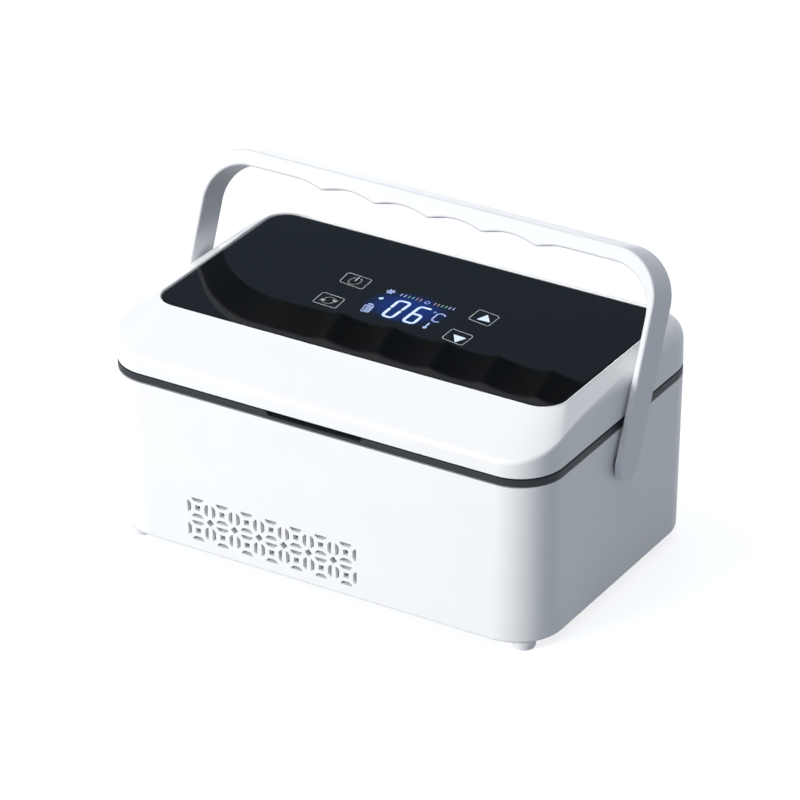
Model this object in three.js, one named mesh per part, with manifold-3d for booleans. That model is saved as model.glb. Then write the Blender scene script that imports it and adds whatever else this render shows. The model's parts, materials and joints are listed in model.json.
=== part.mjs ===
import * as THREE from 'three';
import { mergeVertices } from 'three/addons/utils/BufferGeometryUtils.js';
import Module from 'manifold-3d';

// An insulin cooling case: a tapered white case with a hinged lid, a black glass touch panel,
// a swinging carrying handle and a small thermoelectric cooler under the cold chamber.
// Millimetres. X runs along the front, Y to the back, Z up. The origin lies on the table
// under the middle of the case.

const wasm = await Module();
wasm.setup();

// Clearances that the pieces share
const gap = 0.3;
const runningGap = 0.15;
const overrun = 2;
const mergeDistance = 0.0001;

// Smoothness: steps in a quarter turn, and sides of a round piece
const cornerSteps = 6;
const innerCornerSteps = 4;
const roundSides = 16;
const smallSides = 10;

// Whole case
const caseWidth = 250;
const caseDepth = 158;
const caseCorner = 23.3;
const baseHeight = 86.45;
const bandHeight = 4.85;
const lidHeight = 23.5;
const footHeight = 4.6;
const wall = 2.6;

// The base narrows a little towards the floor
const sideTaper = 1.65;
const frontTaper = 0.6;
const bottomWidth = caseWidth - 2 * sideTaper;
const bottomDepth = caseDepth - 2 * frontTaper;
const bottomCorner = 25;
const bottomEdgeRadius = 1.8;
const bottomEdgeSteps = 3;

// Levels that several pieces share
const baseBottomZ = footHeight;
const seamZ = baseBottomZ + baseHeight;
const splitZ = seamZ + bandHeight;
const topZ = splitZ + lidHeight;

// Deck across the top of the base shell
const deckThickness = 2.4;
const deckEdge = 6;

// Bottom cover, its ledge and the feet
const coverRecess = 0.6;
const coverThickness = 2.5;
const ledgeDepth = 2;
const ledgeHeight = 2;
const footRadius = 6.5;
const footToeRadius = 5.8;
const footNeckRadius = 3.6;
const footFromCorner = 18.3;
const footScrewRecess = 0.4;
const footAngle = THREE.MathUtils.degToRad(50);
const cornerBossRadius = 4.8;
const cornerBossHeight = 16;
const coverBottomZ = baseBottomZ + coverRecess;
const coverTopZ = coverBottomZ + coverThickness;
const ledgeZ = coverTopZ + gap;

// Cold chamber
const rimBreadth = 30;
const mouthWidth = caseWidth - 2 * rimBreadth;
const mouthDepth = caseDepth - 2 * rimBreadth;
const mouthCorner = 12;
const chamberDraft = 3;
const linerWall = 1.2;
const linerLip = 10;
const mouthStep = 0.5;

// Vent lattice in the front wall
const ventColumns = 7;
const ventRows = 2;
const ventPitchX = 14.35;
const ventPitchZ = 12.9;
const ventMiddleHeight = 18.3;
const ventSlotLength = 7.4;
const ventSlotThickness = 2.7;
const ventSlotOffsetX = 5.15;
const ventSlotOffsetZ = 4.55;
const ventEyeSize = 2.9;
const ventDiamondSize = 4.2;

// Vent slots in the back wall
const rearSlotCount = 11;
const rearSlotPitch = 6.4;
const rearSlotWidth = 2.6;
const rearSlotHeight = 17;

// Handle
const pivotBelowSeam = 17.35;
const pivotHeight = baseHeight - pivotBelowSeam;
const handleLean = THREE.MathUtils.degToRad(23);
const handleSideGap = 1.59;
const handleReach = 101.8;
const handleOuterCorner = 24.9;
const handleInnerCorner = 22;
const legThickness = 3.65;
const legInnerX = caseWidth / 2 + handleSideGap;
const handleOuterHalf = legInnerX + legThickness;
const gripThickness = 8.2;
const gripCuspHeight = 3;
const gripCuspPitch = 30.7;
const gripCuspCount = 5;
const gripArcSteps = 8;
const handleBreadth = 19.5;
const pivotZ = baseBottomZ + pivotHeight;

// Handle pivots
const stubRadius = 4;
const pivotBossRadius = 7.5;
const pivotBossDepth = 2.7;
const retainerRadius = 6.6;
const retainerThickness = 1.4;
const frictionWasherRadius = 7;

// Screws
const screwRadius = 1.4;
const screwHeadRadius = 2.8;
const screwHeadHeight = 1.5;
const footScrewLength = 13;
const lidScrewLength = 8;
const pivotScrewLength = 7;
const stackScrewLength = 13;

// Rim frame between base and lid
const notchWidth = 54.2;
const notchHeight = 3.2;
const notchDepth = 5.5;
const pegRadius = 2.2;
const pegInset = 12;
const pegBesideHinge = 15;

// Magnets that hold the lid shut
const magnetLength = 10;
const magnetBreadth = 4;
const magnetHeight = 3;
const magnetFromSide = 65;
const magnetX = caseWidth / 2 - magnetFromSide;
const magnetInset = 13;
const magnetY = -caseDepth / 2 + magnetInset;

// Lid hinge
const hingeInset = 3.4;
const hingePinRadius = 1.25;
const hingeFromSide = 55;
const hingeX = caseWidth / 2 - hingeFromSide;
const baseKnuckleLength = 14;
const lidKnuckleLength = 10;
const hingeRelief = 0.6;
const pegX = hingeX + pegBesideHinge;
const pegY = caseDepth / 2 - pegInset;
const hingeY = caseDepth / 2 - hingeInset;
const hingeZ = splitZ;
const barrelRadius = hingeInset - gap;

// Lid: the ramp from the crease up to the glass
const frontCreaseHeight = 8.7;
const sideCreaseHeight = 19.5;
const creaseRun = 70;
const creasePower = 2.7;
const creaseSoftness = 1.6;
const lidSideSteps = 6;
const lidSkin = 1.6;
const lidBossSkin = 1;

// Glass and what lies under it
const glassSideMargin = 10.9;
const glassFrontMargin = 31.95;
const glassBackMargin = 10.75;
const glassWidth = caseWidth - 2 * glassSideMargin;
const glassDepth = caseDepth - glassFrontMargin - glassBackMargin;
const glassMiddleY = (glassFrontMargin - glassBackMargin) / 2;
const glassCorner = 12.3;
const glassThickness = 2;
const glassLip = 1;
const lipProud = 0.2;
const glassLedge = 1.2;
const topPlateThickness = 2.3;
const windowWidth = 108;
const windowDepth = 56;
const displayWidth = 50;
const displayDepth = 33;
const displayThickness = 4;
const displayX = -0.5;
const displayY = 8.6;
const boardThickness = 1.6;
const touchBoardWidth = 124;
const touchBoardDepth = 72;
const touchBoardY = 8.6;
const stakeRadius = 1.2;
const stakePostRadius = 3;
const stakeInset = 4;
const stakeProud = 0.8;
const touchSpringRadius = 3;
const leftKeysX = -38.1;
const rightKeysX = 36.7;
const powerKeyY = 21;
const modeKeyY = -3.2;
const upKeyY = 18.8;
const downKeyY = -5.3;

// Inside of the lid
const panelRaise = 2.2;
const panelThickness = 2;
const plugGap = 2;
const plugDepth = 8;
const plugWall = 2;
const gasketWidth = 4;
const gasketMargin = 2.5;
const gasketCorner = 16;
const lidBossRadius = 3.6;
const lidBossOut = 1;
const lidBossInset = 15;
const lidBossX = mouthWidth / 2 + lidBossOut;
const lidBossY = caseDepth / 2 - lidBossInset;
const lidFoamRise = 9.6;

// Thermoelectric cooler
const coolerPlaceShare = 0.44268406;
const fanSize = 60;
const fanHeight = 10;
const fanBoreRadius = 27.5;
const fanTipGap = 1;
const fanHubRadius = 11.5;
const fanMotorThickness = 1.2;
const fanStrutWidth = 2.4;
const fanStrutCount = 4;
const fanBladeCount = 7;
const fanBladeChord = 9;
const fanBladeThickness = 1.2;
const fanRootPitch = THREE.MathUtils.degToRad(48);
const fanTipPitch = THREE.MathUtils.degToRad(32);
const fanShaftRadius = 1.5;
const fanHubHeight = 7.6;
const fanPinRadius = 1.7;
const fanPinInset = 5;
const fanPinHeight = 6;
const finCount = 11;
const finPitch = 7.6;
const finThickness = 1.3;
const finHeight = 12;
const sinkLength = 100;
const sinkBaseThickness = 4;
const peltierSize = 40;
const peltierThickness = 3.8;
const coldBlockThickness = 11.7;
const coldBlockWidth = 66;
const coldBlockDepth = 40;
const stackScrewFins = 3.5;
const grilleSlotCount = 7;
const grilleSlotPitch = 6.6;
const grilleSlotWidth = 3.2;
const grilleRadius = 24;

// Battery
const cellRadius = 9.2;
const cellLength = 65;
const cellCount = 4;
const cellPitch = 19;
const batteryFromSide = 55.35;
const batteryX = bottomWidth / 2 - batteryFromSide;
const trayWall = 1.6;
const trayHeight = 14;

// Control board and power socket
const boardFromSide = 30.35;
const controlBoardX = boardFromSide - bottomWidth / 2;
const controlBoardWidth = 38;
const controlBoardInset = 17.4;
const controlBoardLength = bottomDepth - 2 * controlBoardInset;
const boardPostHeight = 5;
const boardPostInset = 4;
const socketWidth = 14;
const socketHeight = 11;
const socketDepth = 18;
const socketBoreRadius = 3.1;
const socketBoreDepth = 9;
const socketPinRadius = 1;
const socketSetback = 4.6;
const wellRadius = 5.6;
const wellSleeve = 1.8;
const capacitorRadius = 5;
const capacitorHeight = 14;
const capacitorY = -30;
const inductorSize = 13;
const inductorHeight = 8;
const inductorY = 0;

// Cable from the battery to the control board
const cableRadius = 1.6;
const cableSides = 8;
const cableSteps = 26;
const cableInset = 17;
const cableBackY = caseDepth / 2 - cableInset;
const cableLift = 0.6;

// Sensor under the chamber floor
const sensorRadius = 2;
const sensorLength = 9;
const sensorX = 40;

// Heights of the cooler's stack, from the bottom cover up
const fanBottomZ = coverTopZ + gap;
const finBottomZ = fanBottomZ + fanHeight + gap;
const sinkBaseZ = finBottomZ + finHeight;
const peltierZ = sinkBaseZ + sinkBaseThickness + gap;
const coldBlockZ = peltierZ + peltierThickness + gap;
const linerBottomZ = coldBlockZ + coldBlockThickness + gap;
const chamberFloorZ = linerBottomZ + linerWall;
const linerLipZ = seamZ + gap;
const foamBottomZ = coldBlockZ;
const foamTopZ = seamZ - deckThickness - gap;

// Heights in the lid
const lidBottomZ = splitZ + gap;
const glassBottomZ = topZ - glassThickness;
const recessFloorZ = glassBottomZ - gap;
const lidCeilingZ = recessFloorZ - topPlateThickness;
const displayBottomZ = recessFloorZ - displayThickness;
const touchBoardTopZ = displayBottomZ - gap;
const panelBottomZ = splitZ + panelRaise;
const panelTopZ = panelBottomZ + panelThickness;

// The foot stands on a spoke from the corner's centre
const footX = bottomWidth / 2 - bottomCorner + footFromCorner * Math.cos(footAngle);
const footY = bottomDepth / 2 - bottomCorner + footFromCorner * Math.sin(footAngle);
const corners = [
  { name: 'front_left', x: -1, y: -1 },
  { name: 'front_right', x: 1, y: -1 },
  { name: 'rear_left', x: -1, y: 1 },
  { name: 'rear_right', x: 1, y: 1 },
];
const sides = [
  { name: 'left', x: -1 },
  { name: 'right', x: 1 },
];

// Materials
function finish(color, roughness, metalness) {
  return new THREE.MeshStandardMaterial({ color, roughness, metalness });
}

const whiteAbs = finish('#f4f5f7', 0.28, 0);
const darkAbs = finish('#474c52', 0.45, 0);
const blackGlass = finish('#14181c', 0.06, 0);
const greyAbs = finish('#d9dcdf', 0.5, 0);
const drawnAluminium = finish('#c3c6c9', 0.38, 0.9);
const extrudedAluminium = finish('#aeb3b8', 0.42, 0.9);
const foam = finish('#e9e7dc', 0.95, 0);
const ceramic = finish('#eceae4', 0.6, 0);
const blackPlastic = finish('#1c1e21', 0.55, 0);
const boardGreen = finish('#1f5a3a', 0.5, 0);
const displayFace = finish('#0d1b33', 0.2, 0);
const rubber = finish('#3a3d41', 0.85, 0);
const steel = finish('#b9bcc0', 0.32, 1);
const cellWrap = finish('#2f5f9e', 0.4, 0);
const magnetNickel = finish('#c9ccd0', 0.25, 1);

// Solids: three.js geometry in, closed solid out
function solid(geometry) {
  geometry.deleteAttribute('normal');
  geometry.deleteAttribute('uv');
  const merged = mergeVertices(geometry, mergeDistance);
  const vertProperties = new Float32Array(merged.attributes.position.array);
  const triVerts = new Uint32Array(merged.index.array);
  return new wasm.Manifold(new wasm.Mesh({ numProp: 3, vertProperties, triVerts }));
}

function joined(pieces) {
  return pieces.reduce((whole, piece) => whole.add(piece));
}

function without(body, cutters) {
  return cutters.reduce((rest, cutter) => rest.subtract(cutter), body);
}

// A rounded rectangle as a ring of points at one height, seen anticlockwise from above
function roundedRing({ halfX, halfY, corner, z, middleY = 0, steps = cornerSteps, sideSteps = 1 }) {
  const ring = [];
  const radius = Math.max(Math.min(corner, halfX, halfY), mergeDistance);
  const straight = halfY - radius;
  const quarters = [
    { x: 1, y: -1, start: -Math.PI / 2 },
    { x: 1, y: 1, start: 0 },
    { x: -1, y: 1, start: Math.PI / 2 },
    { x: -1, y: -1, start: Math.PI },
  ];
  for (const quarter of quarters) {
    for (let step = 0; step <= steps; step += 1) {
      const angle = quarter.start + (Math.PI / 2) * (step / steps);
      const x = quarter.x * (halfX - radius) + radius * Math.cos(angle);
      const y = middleY + quarter.y * straight + radius * Math.sin(angle);
      ring.push(new THREE.Vector3(x, y, z));
    }
    if (quarter.x * quarter.y < 0) {
      for (let step = 1; step < sideSteps; step += 1) {
        const along = quarter.y * straight * (1 - (2 * step) / sideSteps);
        ring.push(new THREE.Vector3(quarter.x * halfX, middleY + along, z));
      }
    }
  }
  return ring;
}

// A closed skin through rings with equal point counts, each end closed by a fan round its middle
function loft(rings) {
  const count = rings[0].length;
  const positions = rings.flat().flatMap((point) => [point.x, point.y, point.z]);
  const indices = [];
  for (let level = 0; level < rings.length - 1; level += 1) {
    for (let place = 0; place < count; place += 1) {
      const a = level * count + place;
      const b = level * count + ((place + 1) % count);
      indices.push(a, b, b + count);
      indices.push(a, b + count, a + count);
    }
  }
  for (const end of [0, rings.length - 1]) {
    const middle = rings[end].reduce((sum, point) => sum.add(point), new THREE.Vector3()).divideScalar(count);
    const hub = positions.length / 3;
    positions.push(middle.x, middle.y, middle.z);
    for (let place = 0; place < count; place += 1) {
      const a = end * count + place;
      const b = end * count + ((place + 1) % count);
      indices.push(...(end === 0 ? [hub, b, a] : [hub, a, b]));
    }
  }
  const geometry = new THREE.BufferGeometry();
  geometry.setAttribute('position', new THREE.Float32BufferAttribute(positions, 3));
  geometry.setIndex(indices);
  return solid(geometry);
}

// A flat plate with rounded corners between two heights
function plate(outline, bottomZ, upperZ) {
  return loft([roundedRing({ ...outline, z: bottomZ }), roundedRing({ ...outline, z: upperZ })]);
}

// A box between two corners
function block(low, high) {
  const size = new THREE.Vector3().subVectors(high, low);
  const middle = new THREE.Vector3().addVectors(low, high).multiplyScalar(0.5);
  const geometry = new THREE.BoxGeometry(size.x, size.y, size.z);
  geometry.translate(middle.x, middle.y, middle.z);
  return solid(geometry);
}

function point(x, y, z) {
  return new THREE.Vector3(x, y, z);
}

// Round bars along each axis. A cone has a second radius at its far end
function uprightRod(x, y, fromZ, toZ, radius, sideCount = smallSides, topRadius = radius) {
  const geometry = new THREE.CylinderGeometry(topRadius, radius, toZ - fromZ, sideCount);
  geometry.rotateX(Math.PI / 2);
  geometry.translate(x, y, (fromZ + toZ) / 2);
  return solid(geometry);
}

function crossRod(y, z, fromX, toX, radius, sideCount = smallSides) {
  const geometry = new THREE.CylinderGeometry(radius, radius, Math.abs(toX - fromX), sideCount);
  geometry.rotateZ(Math.PI / 2);
  geometry.translate((fromX + toX) / 2, y, z);
  return solid(geometry);
}

function depthRod(x, z, fromY, toY, radius, sideCount = smallSides) {
  const geometry = new THREE.CylinderGeometry(radius, radius, toY - fromY, sideCount);
  geometry.translate(x, (fromY + toY) / 2, z);
  return solid(geometry);
}

// A flat outline in X and Z, pushed through from one Y to another
function frontPrism(shape, fromY, toY) {
  const geometry = new THREE.ExtrudeGeometry(shape, { depth: toY - fromY, bevelEnabled: false });
  geometry.rotateX(Math.PI / 2);
  geometry.translate(0, toY, 0);
  return solid(geometry);
}

// The case's outline at any height, moved inwards by an inset
function caseOutline(z, inset) {
  const share = (z - baseBottomZ) / baseHeight;
  return {
    halfX: THREE.MathUtils.lerp(bottomWidth, caseWidth, share) / 2 - inset,
    halfY: THREE.MathUtils.lerp(bottomDepth, caseDepth, share) / 2 - inset,
    corner: THREE.MathUtils.lerp(bottomCorner, caseCorner, share) - inset,
    z,
  };
}

function caseRing(z, inset) {
  return roundedRing(caseOutline(z, inset));
}

// Above the seam the walls stand straight
function uprightOutline(inset) {
  return { halfX: caseWidth / 2 - inset, halfY: caseDepth / 2 - inset, corner: caseCorner - inset };
}

function rectangle(width, depth, corner, middleY = 0) {
  return { halfX: width / 2, halfY: depth / 2, corner, middleY, steps: innerCornerSteps };
}

// Outline of the chamber's inside at any height, widening upwards
function chamberOutline(z, grow) {
  const share = (z - chamberFloorZ) / (splitZ - chamberFloorZ);
  const draft = chamberDraft * (1 - share);
  return {
    halfX: mouthWidth / 2 - draft + grow,
    halfY: mouthDepth / 2 - draft + grow,
    corner: mouthCorner + grow,
    steps: innerCornerSteps,
    z,
  };
}

function chamberLoft(fromZ, toZ, grow) {
  return loft([roundedRing(chamberOutline(fromZ, grow)), roundedRing(chamberOutline(toZ, grow))]);
}

// One slot of the lattice: flat outside, drawn in towards the eye, turned by quarter turns
function ventSlotShape(middleX, middleZ, quarter) {
  const alongShares = [-0.5, 0.5, 0.46, 0.26, -0.26, -0.46];
  const outwardShares = [0.36, 0.36, 0, -0.5, -0.5, 0];
  const angle = (quarter * Math.PI) / 2;
  const offset = quarter % 2 === 0 ? ventSlotOffsetZ : ventSlotOffsetX;
  const points = alongShares.map((share, index) => {
    const along = share * ventSlotLength;
    const outward = offset + outwardShares[index] * ventSlotThickness;
    const x = along * Math.cos(angle) - outward * Math.sin(angle);
    const z = along * Math.sin(angle) + outward * Math.cos(angle);
    return new THREE.Vector2(middleX + x, middleZ + z);
  });
  return new THREE.Shape(points);
}

function squareShape(middleX, middleZ, size, angle) {
  const points = [0, 1, 2, 3].map((side) => {
    const turn = angle + (side * Math.PI) / 2;
    const reach = size / Math.SQRT2;
    return new THREE.Vector2(middleX + reach * Math.cos(turn), middleZ + reach * Math.sin(turn));
  });
  return new THREE.Shape(points);
}

function ventCutters() {
  const shapes = [];
  for (let column = 0; column < ventColumns; column += 1) {
    const x = coolerX + (column - (ventColumns - 1) / 2) * ventPitchX;
    for (let row = 0; row < ventRows; row += 1) {
      const z = baseBottomZ + ventMiddleHeight + (row - (ventRows - 1) / 2) * ventPitchZ;
      for (let quarter = 0; quarter < 4; quarter += 1) {
        shapes.push(ventSlotShape(x, z, quarter));
      }
      shapes.push(squareShape(x, z, ventEyeSize, Math.PI / 4));
      if (column < ventColumns - 1 && row < ventRows - 1) {
        shapes.push(squareShape(x + ventPitchX / 2, z + ventPitchZ / 2, ventDiamondSize / Math.SQRT2, 0));
      }
    }
  }
  const insideY = -bottomDepth / 2 + wall + overrun;
  return shapes.map((shape) => frontPrism(shape, -caseDepth / 2 - overrun, insideY));
}

function rearSlotCutters() {
  const cutters = [];
  const middleZ = baseBottomZ + ventMiddleHeight;
  for (let slot = 0; slot < rearSlotCount; slot += 1) {
    const x = coolerX + (slot - (rearSlotCount - 1) / 2) * rearSlotPitch;
    const low = point(x - rearSlotWidth / 2, bottomDepth / 2 - wall - overrun, middleZ - rearSlotHeight / 2);
    const high = point(x + rearSlotWidth / 2, caseDepth / 2 + overrun, middleZ + rearSlotHeight / 2);
    cutters.push(block(low, high));
  }
  return cutters;
}

// The cooler stands between the control board and the battery tray, behind the vents
const trayHalfX = cellLength / 2 + 2 * gap + trayWall;
const trayHalfY = (cellCount * cellPitch) / 2 + trayWall;
const boardEdgeX = controlBoardX + controlBoardWidth / 2;
const coolerX = THREE.MathUtils.lerp(boardEdgeX, batteryX - trayHalfX, coolerPlaceShare);

// Places that several pieces share
const pivotShare = pivotHeight / baseHeight;
const wallAtPivot = THREE.MathUtils.lerp(bottomWidth, caseWidth, pivotShare) / 2;
const pivotBossFaceX = wallAtPivot - wall - pivotBossDepth;
const stubEndX = pivotBossFaceX - gap;
const retainerFaceX = stubEndX - gap;
const retainerBackX = retainerFaceX - retainerThickness;
const pivotScrewX = retainerBackX - gap;
const boardBottomZ = coverTopZ + boardPostHeight + gap;
const boardTopZ = boardBottomZ + boardThickness;
const socketMiddleZ = boardTopZ + gap + socketHeight / 2;
const socketFaceY = caseDepth / 2 - socketSetback;
const sleeveRadius = wellRadius + wellSleeve;
const reliefY = hingeY - hingeRelief;
const lidKnuckleStart = baseKnuckleLength / 2 + gap;
const lidKnuckleEnd = lidKnuckleStart + lidKnuckleLength;
const footSeatZ = footScrewRecess + screwHeadHeight;
const deckOpening = rectangle(mouthWidth + 2 * deckEdge, mouthDepth + 2 * deckEdge, mouthCorner + deckEdge);
const glassOutline = { ...rectangle(glassWidth, glassDepth, glassCorner, glassMiddleY), steps: cornerSteps };

function grown(outline, amount) {
  return {
    ...outline,
    halfX: outline.halfX + amount,
    halfY: outline.halfY + amount,
    corner: outline.corner + amount,
  };
}

// A post with a thinner pin that a board is pushed on to
function stake(x, y, postFromZ, postToZ, pinEndZ) {
  const up = pinEndZ > postFromZ;
  const post = uprightRod(x, y, Math.min(postFromZ, postToZ), Math.max(postFromZ, postToZ), stakePostRadius);
  const pin = up
    ? uprightRod(x, y, postFromZ, pinEndZ, stakeRadius)
    : uprightRod(x, y, pinEndZ, postFromZ, stakeRadius);
  return post.add(pin);
}

function touchBoardStakes() {
  return corners.map(({ x, y }) => ({
    x: x * (touchBoardWidth / 2 - stakeInset),
    y: touchBoardY + y * (touchBoardDepth / 2 - stakeInset),
  }));
}

function controlBoardStakes() {
  return corners.map(({ x, y }) => ({
    x: controlBoardX + x * (controlBoardWidth / 2 - boardPostInset),
    y: y * (controlBoardLength / 2 - boardPostInset),
  }));
}

// Base

function makeBaseShell() {
  const rings = [];
  for (let step = 0; step <= bottomEdgeSteps; step += 1) {
    const angle = (Math.PI / 2) * (step / bottomEdgeSteps);
    const inset = bottomEdgeRadius * (1 - Math.sin(angle));
    rings.push(caseRing(baseBottomZ + bottomEdgeRadius * (1 - Math.cos(angle)), inset));
  }
  rings.push(caseRing(seamZ, 0));
  const hollow = loft([caseRing(baseBottomZ - overrun, wall), caseRing(seamZ - deckThickness, wall)]);
  const deckHole = plate(deckOpening, seamZ - deckThickness - overrun, seamZ + overrun);
  const ledgeOuter = loft([caseRing(ledgeZ, wall / 2), caseRing(ledgeZ + ledgeHeight, wall / 2)]);
  const ledgeInset = wall + ledgeDepth;
  const ledgeInner = loft([
    caseRing(ledgeZ - overrun, ledgeInset),
    caseRing(ledgeZ + ledgeHeight + overrun, ledgeInset),
  ]);
  const bosses = corners.map(({ x, y }) =>
    uprightRod(x * footX, y * footY, ledgeZ, ledgeZ + cornerBossHeight, cornerBossRadius));
  const pivotBosses = sides.map(({ x }) =>
    crossRod(0, pivotZ, x * pivotBossFaceX, x * (wallAtPivot - wall / 2), pivotBossRadius, roundSides));
  const sleeve = depthRod(
    controlBoardX, socketMiddleZ, socketFaceY + gap, bottomDepth / 2 - wall / 2, sleeveRadius, roundSides);
  const walls = without(loft(rings), [hollow, deckHole]);
  const shell = joined([walls, without(ledgeOuter, [ledgeInner]), ...bosses, ...pivotBosses, sleeve]);
  const screwHoles = corners.map(({ x, y }) =>
    uprightRod(x * footX, y * footY, ledgeZ - overrun, footSeatZ + footScrewLength + gap, screwRadius + gap));
  const pivotHoles = sides.map(({ x }) =>
    crossRod(0, pivotZ, x * (pivotBossFaceX - overrun), x * (wallAtPivot + overrun),
      stubRadius + runningGap, roundSides));
  const well = depthRod(
    controlBoardX, socketMiddleZ, socketFaceY, caseDepth / 2 + overrun, wellRadius, roundSides);
  const pegHoles = corners.map(({ x, y }) =>
    uprightRod(x * pegX, y * pegY, seamZ - deckThickness - overrun, seamZ + overrun, pegRadius + gap));
  return without(shell, [
    ...screwHoles, ...pivotHoles, well, ...pegHoles, ...ventCutters(), ...rearSlotCutters(),
  ]);
}

function makeBottomCover() {
  const sheet = loft([caseRing(coverBottomZ, wall + gap), caseRing(coverTopZ, wall + gap)]);
  const cutters = corners.map(({ x, y }) =>
    uprightRod(x * footX, y * footY, coverBottomZ - overrun, coverTopZ + overrun, screwRadius + gap));
  for (let slot = 0; slot < grilleSlotCount; slot += 1) {
    const aside = (slot - (grilleSlotCount - 1) / 2) * grilleSlotPitch;
    const halfLength = Math.sqrt(grilleRadius ** 2 - aside ** 2);
    const low = point(coolerX + aside - grilleSlotWidth / 2, -halfLength, coverBottomZ - overrun);
    const high = point(coolerX + aside + grilleSlotWidth / 2, halfLength, coverTopZ + overrun);
    cutters.push(block(low, high));
  }
  const reach = fanSize / 2 - fanPinInset;
  const fanPins = corners.map(({ x, y }) =>
    uprightRod(coolerX + x * reach, y * reach, coverBottomZ + coverThickness / 2, coverTopZ + fanPinHeight,
      fanPinRadius));
  const stakes = controlBoardStakes().map(({ x, y }) =>
    stake(x, y, boardBottomZ - gap, coverBottomZ + coverThickness / 2, boardTopZ + stakeProud));
  return joined([without(sheet, cutters), ...fanPins, ...stakes]);
}

function makeFoot(x, y) {
  const pad = uprightRod(x, y, 0, baseBottomZ - gap, footToeRadius, roundSides, footRadius);
  const neck = uprightRod(x, y, baseBottomZ - gap - overrun, coverBottomZ - gap, footNeckRadius, roundSides);
  const seat = uprightRod(x, y, -overrun, footSeatZ + gap, screwHeadRadius + gap, roundSides);
  const hole = uprightRod(x, y, -overrun, coverBottomZ + overrun, screwRadius + gap);
  return without(joined([pad, neck]), [seat, hole]);
}

// A screw that points up, its head underneath
function makeUprightScrew(x, y, seatZ, length) {
  const head = uprightRod(x, y, seatZ - screwHeadHeight, seatZ, screwHeadRadius);
  const shank = uprightRod(x, y, seatZ - screwHeadHeight / 2, seatZ + length, screwRadius);
  return joined([head, shank]);
}

function makeChamberLiner() {
  const topOfLip = linerLipZ + linerWall;
  const tub = chamberLoft(linerBottomZ, topOfLip, linerWall);
  const lip = plate(
    rectangle(mouthWidth + 2 * linerLip, mouthDepth + 2 * linerLip, mouthCorner + linerLip),
    linerLipZ, topOfLip);
  return without(joined([tub, lip]), [chamberLoft(chamberFloorZ, topOfLip + overrun, 0)]);
}

function makeInsulationBlock() {
  const inset = wall + 2 * gap;
  const whole = loft([caseRing(foamBottomZ, inset), caseRing(foamTopZ, inset)]);
  const pocket = chamberLoft(linerBottomZ - gap, foamTopZ + overrun, linerWall + gap);
  const blockHole = block(
    point(coolerX - coldBlockWidth / 2 - gap, -coldBlockDepth / 2 - gap, foamBottomZ - overrun),
    point(coolerX + coldBlockWidth / 2 + gap, coldBlockDepth / 2 + gap, linerBottomZ + overrun));
  const sensorGroove = block(
    point(sensorX - sensorLength / 2 - gap, -sensorRadius - gap, linerBottomZ - 3 * gap - 2 * sensorRadius),
    point(sensorX + sensorLength / 2 + gap, sensorRadius + gap, linerBottomZ + overrun));
  const pivotPockets = sides.map(({ x }) =>
    crossRod(0, pivotZ, x * (pivotScrewX - screwHeadHeight - 2 * gap), x * (caseWidth / 2 + overrun),
      pivotBossRadius + 2 * gap, roundSides));
  return without(whole, [pocket, blockHole, sensorGroove, ...pivotPockets]);
}

function makeRimFrame() {
  const ring = plate(uprightOutline(0), seamZ + gap, splitZ);
  const mouth = plate(
    rectangle(mouthWidth + 2 * mouthStep, mouthDepth + 2 * mouthStep, mouthCorner + mouthStep),
    seamZ - overrun, splitZ + overrun);
  const lipRoom = linerLip + gap;
  const lipRecess = plate(
    rectangle(mouthWidth + 2 * lipRoom, mouthDepth + 2 * lipRoom, mouthCorner + lipRoom),
    seamZ - overrun, linerLipZ + linerWall + gap);
  const notch = block(
    point(-notchWidth / 2, -caseDepth / 2 - overrun, splitZ - notchHeight),
    point(notchWidth / 2, -caseDepth / 2 + notchDepth, splitZ + overrun));
  const magnetPockets = sides.map(({ x }) =>
    magnetBlock(x, splitZ - magnetHeight - 2 * gap, splitZ + overrun, gap));
  const relief = block(
    point(-caseWidth / 2 - overrun, reliefY, seamZ - overrun),
    point(caseWidth / 2 + overrun, caseDepth / 2 + overrun, splitZ + overrun));
  const barrelPockets = sides.map(({ x }) => block(
    point(x * hingeX - lidKnuckleEnd - gap, hingeY - barrelRadius - gap, hingeZ - barrelRadius - gap),
    point(x * hingeX + lidKnuckleEnd + gap, caseDepth / 2 + overrun, splitZ + overrun)));
  const pegs = corners.map(({ x, y }) =>
    uprightRod(x * pegX, y * pegY, seamZ - deckThickness, seamZ + bandHeight / 2, pegRadius));
  const knuckles = sides.map(({ x }) => baseKnuckle(x * hingeX));
  const pinBores = sides.map(({ x }) =>
    crossRod(hingeY, hingeZ, x * hingeX - lidKnuckleEnd, x * hingeX + lidKnuckleEnd,
      hingePinRadius + runningGap));
  const frame = without(ring, [mouth, lipRecess, notch, ...magnetPockets, relief, ...barrelPockets]);
  return without(joined([frame, ...pegs, ...knuckles]), pinBores);
}

function baseKnuckle(middleX) {
  const startX = middleX - baseKnuckleLength / 2;
  const endX = middleX + baseKnuckleLength / 2;
  const barrel = crossRod(hingeY, hingeZ, startX, endX, barrelRadius, roundSides);
  const web = block(
    point(startX, hingeY - barrelRadius - 2 * gap, seamZ + gap),
    point(endX, hingeY + barrelRadius / 2, hingeZ));
  return joined([barrel, web]);
}

function magnetBlock(side, fromZ, toZ, grow) {
  return block(
    point(side * magnetX - magnetLength / 2 - grow, magnetY - magnetBreadth / 2 - grow, fromZ),
    point(side * magnetX + magnetLength / 2 + grow, magnetY + magnetBreadth / 2 + grow, toZ));
}

function makeHingePin(middleX) {
  return crossRod(hingeY, hingeZ, middleX - lidKnuckleEnd, middleX + lidKnuckleEnd, hingePinRadius);
}

// Thermoelectric cooler

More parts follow.
